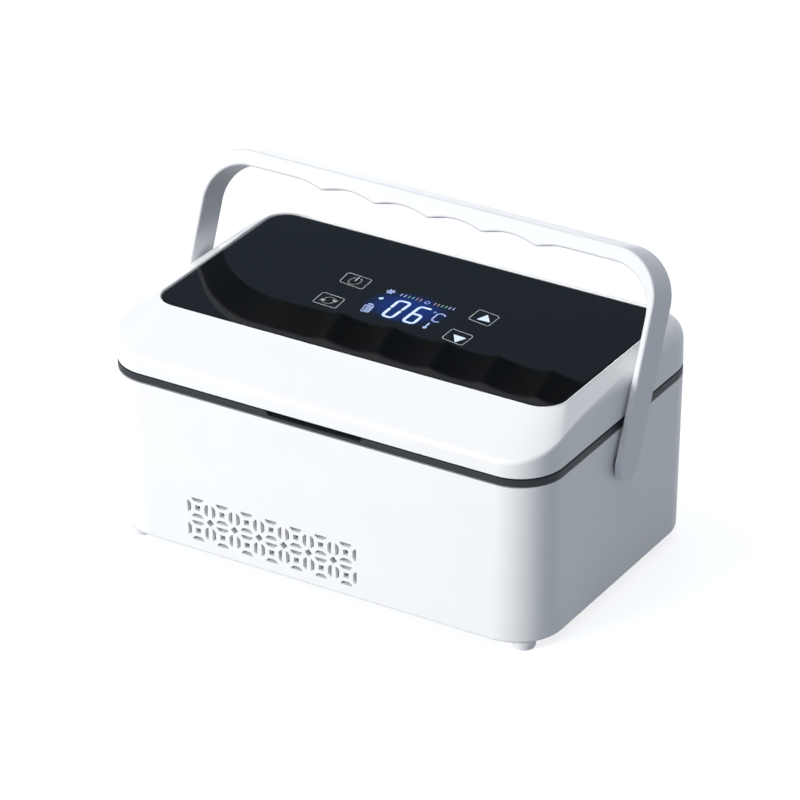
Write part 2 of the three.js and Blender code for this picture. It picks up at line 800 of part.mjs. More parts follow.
function makeColdBlock() {
  const body = block(
    point(coolerX - coldBlockWidth / 2, -coldBlockDepth / 2, coldBlockZ),
    point(coolerX + coldBlockWidth / 2, coldBlockDepth / 2, linerBottomZ - gap));
  const threads = sides.map(({ x }) =>
    uprightRod(coolerX + x * stackScrewFins * finPitch, 0, coldBlockZ - overrun,
      linerBottomZ - 2 * gap - screwRadius, screwRadius + gap));
  return without(body, threads);
}

function makePeltierModule() {
  return block(
    point(coolerX - peltierSize / 2, -peltierSize / 2, peltierZ),
    point(coolerX + peltierSize / 2, peltierSize / 2, peltierZ + peltierThickness));
}

function makeHeatSink() {
  const halfWidth = ((finCount - 1) * finPitch + finThickness) / 2;
  const base = block(
    point(coolerX - halfWidth, -sinkLength / 2, sinkBaseZ),
    point(coolerX + halfWidth, sinkLength / 2, sinkBaseZ + sinkBaseThickness));
  const fins = [];
  for (let fin = 0; fin < finCount; fin += 1) {
    const x = coolerX + (fin - (finCount - 1) / 2) * finPitch;
    fins.push(block(
      point(x - finThickness / 2, -sinkLength / 2, finBottomZ),
      point(x + finThickness / 2, sinkLength / 2, sinkBaseZ + sinkBaseThickness / 2)));
  }
  const holes = sides.map(({ x }) =>
    uprightRod(coolerX + x * stackScrewFins * finPitch, 0, sinkBaseZ - overrun,
      sinkBaseZ + sinkBaseThickness + overrun, screwRadius + gap));
  return without(joined([base, ...fins]), holes);
}

// A flat bar that starts on an axis at one place and points outwards at an angle
function spoke(middleX, angle, length, breadth, fromZ, toZ) {
  const geometry = new THREE.BoxGeometry(length, breadth, toZ - fromZ);
  geometry.translate(length / 2, 0, (fromZ + toZ) / 2);
  geometry.rotateZ(angle);
  geometry.translate(middleX, 0, 0);
  return solid(geometry);
}

function makeFanFrame() {
  const topZ0 = fanBottomZ + fanHeight;
  const motorTopZ = fanBottomZ + fanMotorThickness;
  const square = block(
    point(coolerX - fanSize / 2, -fanSize / 2, fanBottomZ),
    point(coolerX + fanSize / 2, fanSize / 2, topZ0));
  const bore = uprightRod(coolerX, 0, fanBottomZ - overrun, topZ0 + overrun, fanBoreRadius, 2 * roundSides);
  const reach = fanSize / 2 - fanPinInset;
  const pinHoles = corners.map(({ x, y }) =>
    uprightRod(coolerX + x * reach, y * reach, fanBottomZ - overrun, topZ0 + overrun, fanPinRadius + gap));
  const motorSeat = uprightRod(coolerX, 0, fanBottomZ, motorTopZ, fanHubRadius, roundSides);
  const struts = [];
  for (let strut = 0; strut < fanStrutCount; strut += 1) {
    const angle = (2 * Math.PI * strut) / fanStrutCount;
    struts.push(spoke(coolerX, angle, (fanBoreRadius + fanSize / 2) / 2, fanStrutWidth, fanBottomZ, motorTopZ));
  }
  const shaftBore = uprightRod(
    coolerX, 0, fanBottomZ - overrun, motorTopZ + overrun, fanShaftRadius + runningGap);
  const frame = without(square, [bore, ...pinHoles]);
  return without(joined([frame, motorSeat, ...struts]), [shaftBore]);
}

// A fan blade between the hub and its tip, twisted along its length
function fanBlade(angle, middleZ) {
  const rings = [
    { radius: fanHubRadius - fanBladeThickness, pitch: fanRootPitch },
    { radius: fanBoreRadius - fanTipGap, pitch: fanTipPitch },
  ].map(({ radius, pitch }) => {
    const cornersOfBlade = [[-1, -1], [1, -1], [1, 1], [-1, 1]];
    return cornersOfBlade.map(([chordSide, faceSide]) => {
      const along = (chordSide * fanBladeChord) / 2;
      const thick = (faceSide * fanBladeThickness) / 2;
      const y = along * Math.cos(pitch) - thick * Math.sin(pitch);
      const z = along * Math.sin(pitch) + thick * Math.cos(pitch);
      const place = point(radius, y, z).applyAxisAngle(point(0, 0, 1), angle);
      return place.add(point(coolerX, 0, middleZ));
    });
  });
  return loft(rings);
}

function makeFanRotor() {
  const hubZ = fanBottomZ + fanMotorThickness + gap;
  const hub = uprightRod(coolerX, 0, hubZ, hubZ + fanHubHeight, fanHubRadius, roundSides);
  const shaft = uprightRod(coolerX, 0, fanBottomZ + gap, hubZ + overrun, fanShaftRadius);
  const blades = [];
  for (let blade = 0; blade < fanBladeCount; blade += 1) {
    blades.push(fanBlade((2 * Math.PI * blade) / fanBladeCount, hubZ + fanHubHeight / 2));
  }
  return joined([hub, shaft, ...blades]);
}

// Battery and electronics

function makeBatteryTray() {
  const outside = block(
    point(batteryX - trayHalfX, -trayHalfY, fanBottomZ),
    point(batteryX + trayHalfX, trayHalfY, fanBottomZ + trayHeight));
  const inside = block(
    point(batteryX - trayHalfX + trayWall, -trayHalfY + trayWall, fanBottomZ + trayWall),
    point(batteryX + trayHalfX - trayWall, trayHalfY - trayWall, fanBottomZ + trayHeight + overrun));
  return without(outside, [inside]);
}

function makeBatteryCell(place) {
  const y = (place - (cellCount - 1) / 2) * cellPitch;
  const z = fanBottomZ + trayWall + gap + cellRadius;
  return crossRod(y, z, batteryX - cellLength / 2, batteryX + cellLength / 2, cellRadius, roundSides);
}

function makeControlBoard() {
  const sheet = block(
    point(controlBoardX - controlBoardWidth / 2, -controlBoardLength / 2, boardBottomZ),
    point(controlBoardX + controlBoardWidth / 2, controlBoardLength / 2, boardTopZ));
  const holes = controlBoardStakes().map(({ x, y }) =>
    uprightRod(x, y, boardBottomZ - overrun, boardTopZ + overrun, stakeRadius + gap));
  return without(sheet, holes);
}

function makeCapacitor() {
  return uprightRod(controlBoardX, capacitorY, boardTopZ + gap, boardTopZ + gap + capacitorHeight,
    capacitorRadius, roundSides);
}

function makeInductor() {
  const lowZ = boardTopZ + gap;
  const whole = block(
    point(controlBoardX - inductorSize / 2, inductorY - inductorSize / 2, lowZ),
    point(controlBoardX + inductorSize / 2, inductorY + inductorSize / 2, lowZ + inductorHeight));
  const core = uprightRod(
    controlBoardX, inductorY, lowZ + inductorHeight / 2, lowZ + inductorHeight + overrun, inductorSize / 4);
  return without(whole, [core]);
}

function makePowerSocket() {
  const body = block(
    point(controlBoardX - socketWidth / 2, socketFaceY - socketDepth, boardTopZ + gap),
    point(controlBoardX + socketWidth / 2, socketFaceY, boardTopZ + gap + socketHeight));
  const boreFloorY = socketFaceY - socketBoreDepth;
  const bore = depthRod(controlBoardX, socketMiddleZ, boreFloorY, socketFaceY + overrun, socketBoreRadius);
  const pin = depthRod(controlBoardX, socketMiddleZ, boreFloorY - overrun, socketFaceY - overrun,
    socketPinRadius);
  return without(body, [bore]).add(pin);
}

// The cable leaves the tray, runs behind the cooler and ends on the control board
function makeBatteryCable() {
  const lowZ = coverTopZ + gap + cableRadius + cableLift;
  const endZ = boardTopZ + gap + cableRadius;
  const startX = batteryX - trayHalfX / 2;
  const startY = trayHalfY + gap;
  const endX = controlBoardX + controlBoardWidth / 4;
  const endY = cableBackY - trayHalfX / 2;
  const turn = cableBackY - startY;
  const route = new THREE.CatmullRomCurve3([
    point(startX, startY, lowZ),
    point(startX - turn / 8, startY + turn / 2, lowZ),
    point(startX - turn, cableBackY, lowZ),
    point(coolerX, cableBackY, lowZ),
    point(controlBoardX + controlBoardWidth, cableBackY - turn / 4, lowZ),
    point(controlBoardX + controlBoardWidth / 2, (cableBackY + endY) / 2, endZ),
    point(endX, endY, endZ),
  ]);
  const round = new THREE.Shape();
  for (let side = 0; side < cableSides; side += 1) {
    const angle = (2 * Math.PI * side) / cableSides;
    const x = cableRadius * Math.cos(angle);
    const y = cableRadius * Math.sin(angle);
    if (side === 0) round.moveTo(x, y);
    else round.lineTo(x, y);
  }
  return solid(new THREE.ExtrudeGeometry(round, { steps: cableSteps, extrudePath: route }));
}

function makeTemperatureSensor() {
  const z = linerBottomZ - gap - sensorRadius;
  return crossRod(0, z, sensorX - sensorLength / 2, sensorX + sensorLength / 2, sensorRadius);
}

// Lid

// Height of the crease between the lid's upright rim and its ramp, at one depth
function creaseZ(y) {
  const share = THREE.MathUtils.clamp((y + caseDepth / 2) / creaseRun, 0, 1);
  const rise = 1 - (1 - share) ** creasePower;
  return splitZ + THREE.MathUtils.lerp(frontCreaseHeight, sideCreaseHeight, rise);
}

// The ramp's height at one depth, along the lid's middle
function rampZ(y) {
  const lipFrontY = glassMiddleY - glassDepth / 2 - gap - glassLip;
  const share = THREE.MathUtils.clamp((y + caseDepth / 2) / (lipFrontY + caseDepth / 2), 0, 1);
  return THREE.MathUtils.lerp(creaseZ(-caseDepth / 2), topZ + lipProud, share);
}

function lidOutside() {
  const rim = roundedRing({ ...uprightOutline(0), z: lidBottomZ, sideSteps: lidSideSteps });
  const lip = roundedRing({ ...grown(glassOutline, gap + glassLip), z: topZ + lipProud, sideSteps: lidSideSteps });
  const creases = rim.map(({ x, y }) => point(x, y, creaseZ(y)));
  const underCrease = creases.map(({ x, y, z }) => point(x, y, z - creaseSoftness));
  const overCrease = creases.map((crease, place) => {
    const share = creaseSoftness / crease.distanceTo(lip[place]);
    return crease.clone().lerp(lip[place], share);
  });
  return loft([rim, underCrease, overCrease, lip]);
}

function lidInside() {
  const outer = roundedRing({ ...uprightOutline(0), z: lidBottomZ, sideSteps: lidSideSteps });
  const rim = roundedRing({ ...uprightOutline(wall), z: lidBottomZ - overrun, sideSteps: lidSideSteps });
  const ceiling = roundedRing({ ...grown(glassOutline, -glassLedge), z: lidCeilingZ, sideSteps: lidSideSteps });
  const creases = rim.map(({ x, y }, place) => point(x, y, creaseZ(outer[place].y) - lidSkin));
  return loft([rim, creases, ceiling]);
}

function lidKnuckles(middleX) {
  return [-1, 1].map((side) =>
    crossRod(hingeY, hingeZ, middleX + side * lidKnuckleStart, middleX + side * lidKnuckleEnd,
      barrelRadius, roundSides));
}

function makeLidShell() {
  const recess = plate(grown(glassOutline, gap), recessFloorZ, topZ + lipProud + overrun);
  const window = plate(
    rectangle(windowWidth, windowDepth, glassCorner / 2, touchBoardY),
    lidCeilingZ - overrun, recessFloorZ + overrun);
  const hingeWindows = sides.map(({ x }) => block(
    point(x * hingeX - lidKnuckleStart, hingeY - barrelRadius - gap, lidBottomZ - overrun),
    point(x * hingeX + lidKnuckleStart, caseDepth / 2 + overrun, hingeZ + barrelRadius + gap)));
  const stakes = touchBoardStakes().map(({ x, y }) =>
    stake(x, y, touchBoardTopZ + gap, lidCeilingZ + topPlateThickness / 2,
      touchBoardTopZ - boardThickness - stakeProud));
  const bosses = corners.map(({ x, y }) => {
    const frontEdgeY = y * lidBossY - lidBossRadius;
    const bossTopZ = Math.min(rampZ(frontEdgeY), recessFloorZ) - lidBossSkin;
    return uprightRod(x * lidBossX, y * lidBossY, panelTopZ + gap, bossTopZ, lidBossRadius);
  });
  const screwHoles = corners.map(({ x, y }) =>
    uprightRod(x * lidBossX, y * lidBossY, panelTopZ - overrun, panelBottomZ + lidScrewLength,
      screwRadius + gap));
  const pinBores = sides.map(({ x }) =>
    crossRod(hingeY, hingeZ, x * hingeX - lidKnuckleEnd - overrun, x * hingeX + lidKnuckleEnd + overrun,
      hingePinRadius + runningGap));
  const shell = without(lidOutside(), [lidInside(), recess, window, ...hingeWindows]);
  const knuckles = sides.flatMap(({ x }) => lidKnuckles(x * hingeX));
  return without(joined([shell, ...stakes, ...bosses, ...knuckles]), [...screwHoles, ...pinBores]);
}

function makeLidPanel() {
  const sheet = plate(uprightOutline(wall + gap), panelBottomZ, panelTopZ);
  const plug = chamberLoft(splitZ - plugDepth, panelBottomZ + panelThickness / 2, -plugGap);
  const plugHollow = chamberLoft(splitZ - plugDepth + plugWall, panelTopZ + overrun, -plugGap - plugWall);
  const hingeNotches = sides.map(({ x }) => block(
    point(x * hingeX - lidKnuckleEnd - 2 * gap, hingeY - barrelRadius - 2 * gap, panelBottomZ - overrun),
    point(x * hingeX + lidKnuckleEnd + 2 * gap, caseDepth / 2, panelTopZ + overrun)));
  const holes = corners.map(({ x, y }) =>
    uprightRod(x * lidBossX, y * lidBossY, panelBottomZ - overrun, panelTopZ + overrun, screwRadius + gap));
  return without(joined([sheet, plug]), [plugHollow, ...hingeNotches, ...holes]);
}

function makeLidGasket() {
  const inner = rectangle(mouthWidth + 2 * gasketMargin, mouthDepth + 2 * gasketMargin, gasketCorner);
  const ring = plate(grown(inner, gasketWidth), lidBottomZ, panelBottomZ - gap);
  return without(ring, [plate(inner, lidBottomZ - overrun, panelBottomZ + overrun)]);
}

function makeLidInsulation() {
  return chamberLoft(splitZ - plugDepth + plugWall + gap, panelTopZ + lidFoamRise, -plugGap - plugWall - gap);
}

function makeTouchBoard() {
  const sheet = plate(
    rectangle(touchBoardWidth, touchBoardDepth, stakeRadius, touchBoardY),
    touchBoardTopZ - boardThickness, touchBoardTopZ);
  const holes = touchBoardStakes().map(({ x, y }) =>
    uprightRod(x, y, touchBoardTopZ - boardThickness - overrun, touchBoardTopZ + overrun, stakeRadius + gap));
  return without(sheet, holes);
}

function makeDisplayModule() {
  return block(
    point(displayX - displayWidth / 2, displayY - displayDepth / 2, displayBottomZ),
    point(displayX + displayWidth / 2, displayY + displayDepth / 2, glassBottomZ - gap));
}

function makeTouchSpring(x, y) {
  return uprightRod(x, y, touchBoardTopZ + gap, glassBottomZ - gap, touchSpringRadius);
}

// Handle, drawn upright round its pivot and then leaned back

// The grip's underside between two cusps is one shallow arc
function gripUnderside() {
  const restHeight = handleReach - gripThickness;
  const firstCusp = (-gripCuspPitch * (gripCuspCount - 1)) / 2;
  const points = [];
  const totalSteps = gripCuspCount * gripArcSteps;
  for (let step = 0; step <= totalSteps; step += 1) {
    const x = firstCusp - gripCuspPitch / 2 + (gripCuspPitch * step) / gripArcSteps;
    const share = ((step + gripArcSteps / 2) % gripArcSteps) / gripArcSteps;
    const drop = gripCuspHeight * (2 * share - 1) ** 2;
    points.push(new THREE.Vector2(x, restHeight - drop));
  }
  return points;
}

function handleOutline() {
  const low = -handleBreadth / 2 - overrun;
  const outerBend = handleReach - handleOuterCorner;
  const innerReach = handleReach - gripThickness;
  const innerBend = innerReach - handleInnerCorner;
  const shape = new THREE.Shape();
  shape.moveTo(handleOuterHalf, low);
  shape.lineTo(handleOuterHalf, outerBend);
  shape.absarc(handleOuterHalf - handleOuterCorner, outerBend, handleOuterCorner, 0, Math.PI / 2);
  shape.absarc(-handleOuterHalf + handleOuterCorner, outerBend, handleOuterCorner, Math.PI / 2, Math.PI);
  shape.lineTo(-handleOuterHalf, low);
  shape.lineTo(-legInnerX, low);
  shape.lineTo(-legInnerX, innerBend);
  shape.absarc(-legInnerX + handleInnerCorner, innerBend, handleInnerCorner, Math.PI, Math.PI / 2, true);
  gripUnderside().forEach(({ x, y }) => shape.lineTo(x, y));
  shape.absarc(legInnerX - handleInnerCorner, innerBend, handleInnerCorner, Math.PI / 2, 0, true);
  shape.lineTo(legInnerX, low);
  return shape;
}

// Seen from the side, each leg ends in a half circle round the pivot
function legOutline() {
  const shape = new THREE.Shape();
  shape.moveTo(handleBreadth / 2, 0);
  shape.lineTo(handleBreadth / 2, handleReach + overrun);
  shape.lineTo(-handleBreadth / 2, handleReach + overrun);
  shape.lineTo(-handleBreadth / 2, 0);
  shape.absarc(0, 0, handleBreadth / 2, Math.PI, 2 * Math.PI);
  return shape;
}

function handlePrism(shape, depth, basis) {
  const geometry = new THREE.ExtrudeGeometry(shape, {
    depth, bevelEnabled: false, curveSegments: cornerSteps + 2,
  });
  geometry.translate(0, 0, -depth / 2);
  geometry.applyMatrix4(new THREE.Matrix4().makeBasis(...basis));
  geometry.rotateX(-handleLean);
  geometry.translate(0, 0, pivotZ);
  return solid(geometry);
}

function makeHandleBail() {
  const [alongX, alongY, alongZ] = [point(1, 0, 0), point(0, 1, 0), point(0, 0, 1)];
  const front = handlePrism(handleOutline(), handleBreadth, [alongX, alongZ, alongY.clone().negate()]);
  const side = handlePrism(legOutline(), 2 * (handleOuterHalf + overrun), [alongY, alongZ, alongX]);
  const stubs = sides.map(({ x }) =>
    crossRod(0, pivotZ, x * stubEndX, x * (legInnerX + legThickness / 2), stubRadius, roundSides));
  const bores = sides.map(({ x }) =>
    crossRod(0, pivotZ, x * (stubEndX - overrun), x * (pivotScrewX + pivotScrewLength + gap),
      screwRadius + gap));
  return without(joined([front.intersect(side), ...stubs]), bores);
}

function makeFrictionWasher(side) {
  const innerX = caseWidth / 2 + gap;
  const washer = crossRod(0, pivotZ, side * innerX, side * (legInnerX - gap), frictionWasherRadius, roundSides);
  const hole = crossRod(0, pivotZ, side * (innerX - overrun), side * (legInnerX + overrun), stubRadius + gap,
    roundSides);
  return without(washer, [hole]);
}

function makeRetainer(side) {
  const disc = crossRod(0, pivotZ, side * retainerBackX, side * retainerFaceX, retainerRadius, roundSides);
  const hole = crossRod(0, pivotZ, side * (retainerBackX - overrun), side * (retainerFaceX + overrun),
    screwRadius + gap);
  return without(disc, [hole]);
}

function makePivotScrew(side) {
  const head = crossRod(0, pivotZ, side * (pivotScrewX - screwHeadHeight), side * pivotScrewX, screwHeadRadius);
  const shank = crossRod(0, pivotZ, side * (pivotScrewX - screwHeadHeight / 2),
    side * (pivotScrewX + pivotScrewLength), screwRadius);
  return joined([head, shank]);
}

// The whole case as named meshes
const part = new THREE.Group();

function addPiece(name, body, material) {
  const data = body.getMesh();
  const geometry = new THREE.BufferGeometry();
  geometry.setAttribute('position', new THREE.BufferAttribute(data.vertProperties, 3));
  geometry.setIndex(new THREE.BufferAttribute(data.triVerts, 1));
  geometry.computeVertexNormals();
  const mesh = new THREE.Mesh(geometry, material);
  mesh.name = name;
  part.add(mesh);
}

addPiece('base_shell', makeBaseShell(), whiteAbs);
addPiece('bottom_cover', makeBottomCover(), whiteAbs);
for (const { name, x, y } of corners) {
  addPiece(`foot_${name}`, makeFoot(x * footX, y * footY), whiteAbs);
  addPiece(`foot_screw_${name}`, makeUprightScrew(x * footX, y * footY, footSeatZ, footScrewLength), steel);
}
addPiece('chamber_liner', makeChamberLiner(), drawnAluminium);
addPiece('insulation_block', makeInsulationBlock(), foam);
addPiece('rim_frame', makeRimFrame(), darkAbs);
addPiece('cold_block', makeColdBlock(), extrudedAluminium);
addPiece('peltier_module', makePeltierModule(), ceramic);
addPiece('heat_sink', makeHeatSink(), extrudedAluminium);
addPiece('fan_frame', makeFanFrame(), blackPlastic);
addPiece('fan_rotor', makeFanRotor(), blackPlastic);
addPiece('battery_tray', makeBatteryTray(), blackPlastic);
for (let place = 0; place < cellCount; place += 1) {
  addPiece(`battery_cell_${place + 1}`, makeBatteryCell(place), cellWrap);
}
addPiece('battery_cable', makeBatteryCable(), rubber);
addPiece('control_board', makeControlBoard(), boardGreen);
addPiece('board_capacitor', makeCapacitor(), cellWrap);
addPiece('board_inductor', makeInductor(), blackPlastic);
addPiece('power_socket', makePowerSocket(), blackPlastic);
addPiece('temperature_sensor', makeTemperatureSensor(), steel);
addPiece('lid_shell', makeLidShell(), whiteAbs);
addPiece('lid_panel', makeLidPanel(), greyAbs);
addPiece('lid_gasket', makeLidGasket(), rubber);
addPiece('lid_insulation', makeLidInsulation(), foam);
for (const { name, x, y } of corners) {
  const screw = makeUprightScrew(x * lidBossX, y * lidBossY, panelBottomZ - gap, lidScrewLength);
  addPiece(`lid_screw_${name}`, screw, steel);
}
addPiece('touch_board', makeTouchBoard(), boardGreen);
addPiece('display_module', makeDisplayModule(), displayFace);
addPiece('touch_spring_power', makeTouchSpring(leftKeysX, powerKeyY), steel);
addPiece('touch_spring_mode', makeTouchSpring(leftKeysX, modeKeyY), steel);
addPiece('touch_spring_up', makeTouchSpring(rightKeysX, upKeyY), steel);
addPiece('touch_spring_down', makeTouchSpring(rightKeysX, downKeyY), steel);
addPiece('glass_panel', plate(glassOutline, glassBottomZ, topZ), blackGlass);
addPiece('handle_bail', makeHandleBail(), whiteAbs);
for (const { name, x } of sides) {
  addPiece(`stack_screw_${name}`,
    makeUprightScrew(coolerX + x * stackScrewFins * finPitch, 0, sinkBaseZ - gap, stackScrewLength), steel);
  addPiece(`hinge_pin_${name}`, makeHingePin(x * hingeX), steel);
  addPiece(`friction_washer_${name}`, makeFrictionWasher(x), rubber);
  addPiece(`pivot_retainer_${name}`, makeRetainer(x), steel);
  addPiece(`pivot_screw_${name}`, makePivotScrew(x), steel);
  addPiece(`rim_magnet_${name}`,
    magnetBlock(x, splitZ - magnetHeight - gap, splitZ - gap, 0), magnetNickel);
  addPiece(`lid_magnet_${name}`,
    magnetBlock(x, panelTopZ + gap, panelTopZ + gap + magnetHeight, 0), magnetNickel);
}

export default part;
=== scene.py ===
# %% [markdown]
# # An insulin cooling case
# A white plastic case with a sloping lid, a black glass touch panel, a swinging handle and a small
# cooler in its floor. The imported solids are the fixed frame: they carry sizes, joints and the inner
# parts, and this script gives every surface its look. Shapes are drawn in millimetres, as on a drawing,
# and each is turned to metres as its last step.

# %% Load the fixed frame
import json
import math

import bmesh
import bpy
from mathutils import Matrix, Vector


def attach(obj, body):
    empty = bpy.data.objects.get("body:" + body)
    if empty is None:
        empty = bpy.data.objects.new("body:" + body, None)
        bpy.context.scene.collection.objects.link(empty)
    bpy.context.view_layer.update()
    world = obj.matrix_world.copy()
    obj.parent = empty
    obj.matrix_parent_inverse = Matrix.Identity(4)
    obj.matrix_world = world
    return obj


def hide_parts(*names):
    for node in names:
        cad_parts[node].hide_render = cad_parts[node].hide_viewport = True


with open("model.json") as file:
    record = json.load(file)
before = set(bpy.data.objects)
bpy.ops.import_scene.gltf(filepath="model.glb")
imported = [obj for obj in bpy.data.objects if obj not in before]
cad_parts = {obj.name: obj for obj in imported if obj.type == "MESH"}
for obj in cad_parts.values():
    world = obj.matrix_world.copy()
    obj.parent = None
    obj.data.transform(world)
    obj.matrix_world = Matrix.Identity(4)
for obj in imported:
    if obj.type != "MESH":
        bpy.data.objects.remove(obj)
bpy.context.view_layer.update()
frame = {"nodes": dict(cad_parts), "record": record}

MM = 0.001
nodes = frame["nodes"]

# %% [markdown]
# ## Camera
# The photograph was taken from far away with a long lens, so upright lines stay nearly parallel. Angle,
# distance and lens were fitted to edges measured in it. A camera could be aimed with a constraint, but
# three turns keep the small roll of the picture as well.

# %% Place the camera
AZIMUTH = math.radians(31.988)
ELEVATION = math.radians(28.397)
ROLL = math.radians(-0.803)
DISTANCE = 2504.664
AIM = Vector((-5.566, 8.652, 66.745))
FOCAL_LENGTH = 227.09
SENSOR_WIDTH = 36.0


def add_object(name, data):
    """One object in the scene that shows the given data."""
    thing = bpy.data.objects.new(name, data)
    bpy.context.scene.collection.objects.link(thing)
    return thing


# A long lens that looks at the case from the front right and a little above
camera_turn = (Matrix.Rotation(AZIMUTH, 4, "Z") @ Matrix.Rotation(math.pi / 2 - ELEVATION, 4, "X")
               @ Matrix.Rotation(ROLL, 4, "Z"))
lens = bpy.data.cameras.new("camera")
lens.lens = FOCAL_LENGTH
lens.sensor_width = SENSOR_WIDTH
lens.clip_end = 20
camera = add_object("camera", lens)
camera_place = (AIM + camera_turn @ Vector((0, 0, DISTANCE))) * MM
camera.matrix_world = Matrix.Translation(camera_place) @ camera_turn
bpy.context.scene.camera = camera
print("camera at", [round(v, 3) for v in camera.matrix_world.translation])

# %% [markdown]
# ## Helpers for materials
# Paint charts give colours as sRGB hex values, while shaders add light linearly, so one function turns
# the first into the second. Another adds a shader node with its settings and links, which keeps each
# finish short enough to read as a recipe.

# %% Colour and shader helpers


def linear(hex_color, alpha=1.0):
    """An sRGB hex colour as linear light."""
    channels = [int(hex_color[place:place + 2], 16) / 255 for place in (1, 3, 5)]
    light = [c / 12.92 if c <= 0.04045 else ((c + 0.055) / 1.055) ** 2.4 for c in channels]
    return (*light, alpha)


def add_node(tree, kind, inputs=None, **settings):
    """One shader node with its settings, and its inputs, by name or number, set or linked."""
    made = tree.nodes.new("ShaderNode" + kind)
    for name, value in settings.items():
        setattr(made, name, value)
    for name, value in (inputs or {}).items():
        if isinstance(value, bpy.types.NodeSocket):
            tree.links.new(value, made.inputs[name])
        else:
            made.inputs[name].default_value = value
    return made


def start_finish(name):
    """An empty material and its node tree."""
    material = bpy.data.materials.new(name)
    material.use_nodes = True
    material.node_tree.nodes.clear()
    return material, material.node_tree


PLASTIC_IOR, CLOUD_MM, GLOSS_SPREAD = 1.5, 38, 0.06


def moulded_finish(name, color, roughness, pebble_mm, pebble_depth, mottle=0.03, specular=0.5):
    """A surface whose small pebbles and slightly uneven gloss come from its mould."""
    material, tree = start_finish(name)
    place = add_node(tree, "TexCoord").outputs["Object"]
    pebbles = add_node(tree, "TexNoise", {
        "Vector": place, "Scale": 1 / (pebble_mm * MM), "Detail": 2.0, "Roughness": 0.5})
    clouds = add_node(tree, "TexNoise", {
        "Vector": place, "Scale": 1 / (CLOUD_MM * MM), "Detail": 3.0, "Roughness": 0.55})
    bump = add_node(tree, "Bump", {
        "Strength": 1.0, "Distance": pebble_depth * MM, "Height": pebbles.outputs["Fac"]})
    gloss = add_node(tree, "MapRange", {
        "Value": clouds.outputs["Fac"], "From Min": 0.3, "From Max": 0.7,
        "To Min": roughness - GLOSS_SPREAD / 2, "To Max": roughness + GLOSS_SPREAD / 2})
    shade = add_node(tree, "MapRange", {
        "Value": clouds.outputs["Fac"], "From Min": 0.3, "From Max": 0.7,
        "To Min": 1 - mottle, "To Max": 1.0})
    tint = add_node(tree, "Mix", {"Factor": 1.0, 6: linear(color), 7: shade.outputs["Result"]},
                    data_type="RGBA", blend_type="MULTIPLY")
    surface = add_node(tree, "BsdfPrincipled", {
        "Base Color": tint.outputs[2], "Roughness": gloss.outputs["Result"], "IOR": PLASTIC_IOR,
        "Specular IOR Level": specular, "Normal": bump.outputs["Normal"]})
    add_node(tree, "OutputMaterial", {"Surface": surface.outputs["BSDF"]})
    return material


# %% [markdown]
# ## Finishes of the case
# The case is ABS, moulded in polished steel tools. Such plastic isn't flat in colour: its gloss wanders
# a little where the tool is worn, and a very fine orange peel breaks up the highlights. Both are noise
# on Object coordinates, sized in millimetres, so they stay the same size on every piece.

# %% Plastics, rubber and foam
FINISH = {}
# Polished ABS, injection moulded: a soft white with broad, calm highlights
FINISH["white_abs"] = moulded_finish("white_abs_moulded", "#f9f9f9", 0.38, 1.6, 0.012, mottle=0.02,
                                     specular=0.3)
# White ABS of the handle, injection moulded: the case's white painted a shade greyer as painted shade,
# because the leaning handle catches more of the key light; a little more satin
handle_white_painted_shade = moulded_finish("white_abs_handle_painted_shade", "#eaebed", 0.42, 1.2, 0.014, mottle=0.02,
                          specular=0.3)
# Textured ABS, injection moulded: dark, satin, swallows most of the light in the seam
FINISH["dark_abs"] = moulded_finish("dark_abs_textured", "#282c32", 0.5, 0.7, 0.02, specular=0.3)
# Satin ABS of the inner cover: a light grey that shows fingerprints less
FINISH["grey_abs"] = moulded_finish("grey_abs_satin", "#d9dcdf", 0.45, 0.8, 0.015)
# Black polyamide of the fan and socket: matt with a fine grain
FINISH["black_plastic"] = moulded_finish("black_polyamide_moulded", "#1c1e21", 0.52, 0.6, 0.02)
# Silicone rubber, moulded: dark and dull, with a soft edge to its highlight
FINISH["rubber"] = moulded_finish("silicone_rubber_moulded", "#3a3d41", 0.72, 0.9, 0.02)
# Rigid polyurethane foam: cream, dry, with open cells that shade its surface
FINISH["foam"] = moulded_finish("polyurethane_foam_cut", "#e9e7dc", 0.95, 1.2, 0.12, mottle=0.12)
# Unglazed alumina of the cooling module: chalky and even
FINISH["ceramic"] = moulded_finish("alumina_ceramic_sintered", "#eceae4", 0.7, 0.5, 0.01)
# PVC sleeve shrunk on the cells: a saturated blue with a soft gloss
FINISH["cell_wrap"] = moulded_finish("pvc_sleeve_shrunk", "#2f5f9e", 0.35, 2.5, 0.02)
print("plastics:", len(bpy.data.materials))

# %% [markdown]
# ## Metals
# The cooler is extruded aluminium, the chamber deep drawn aluminium, the screws are zinc plated and the
# magnets nickel plated. A metal has no colour under its reflection, so base colour and roughness set it,
# and fine streaks show how it was worked. They are a noise stretched along the direction of drawing.

# %% Metal finishes


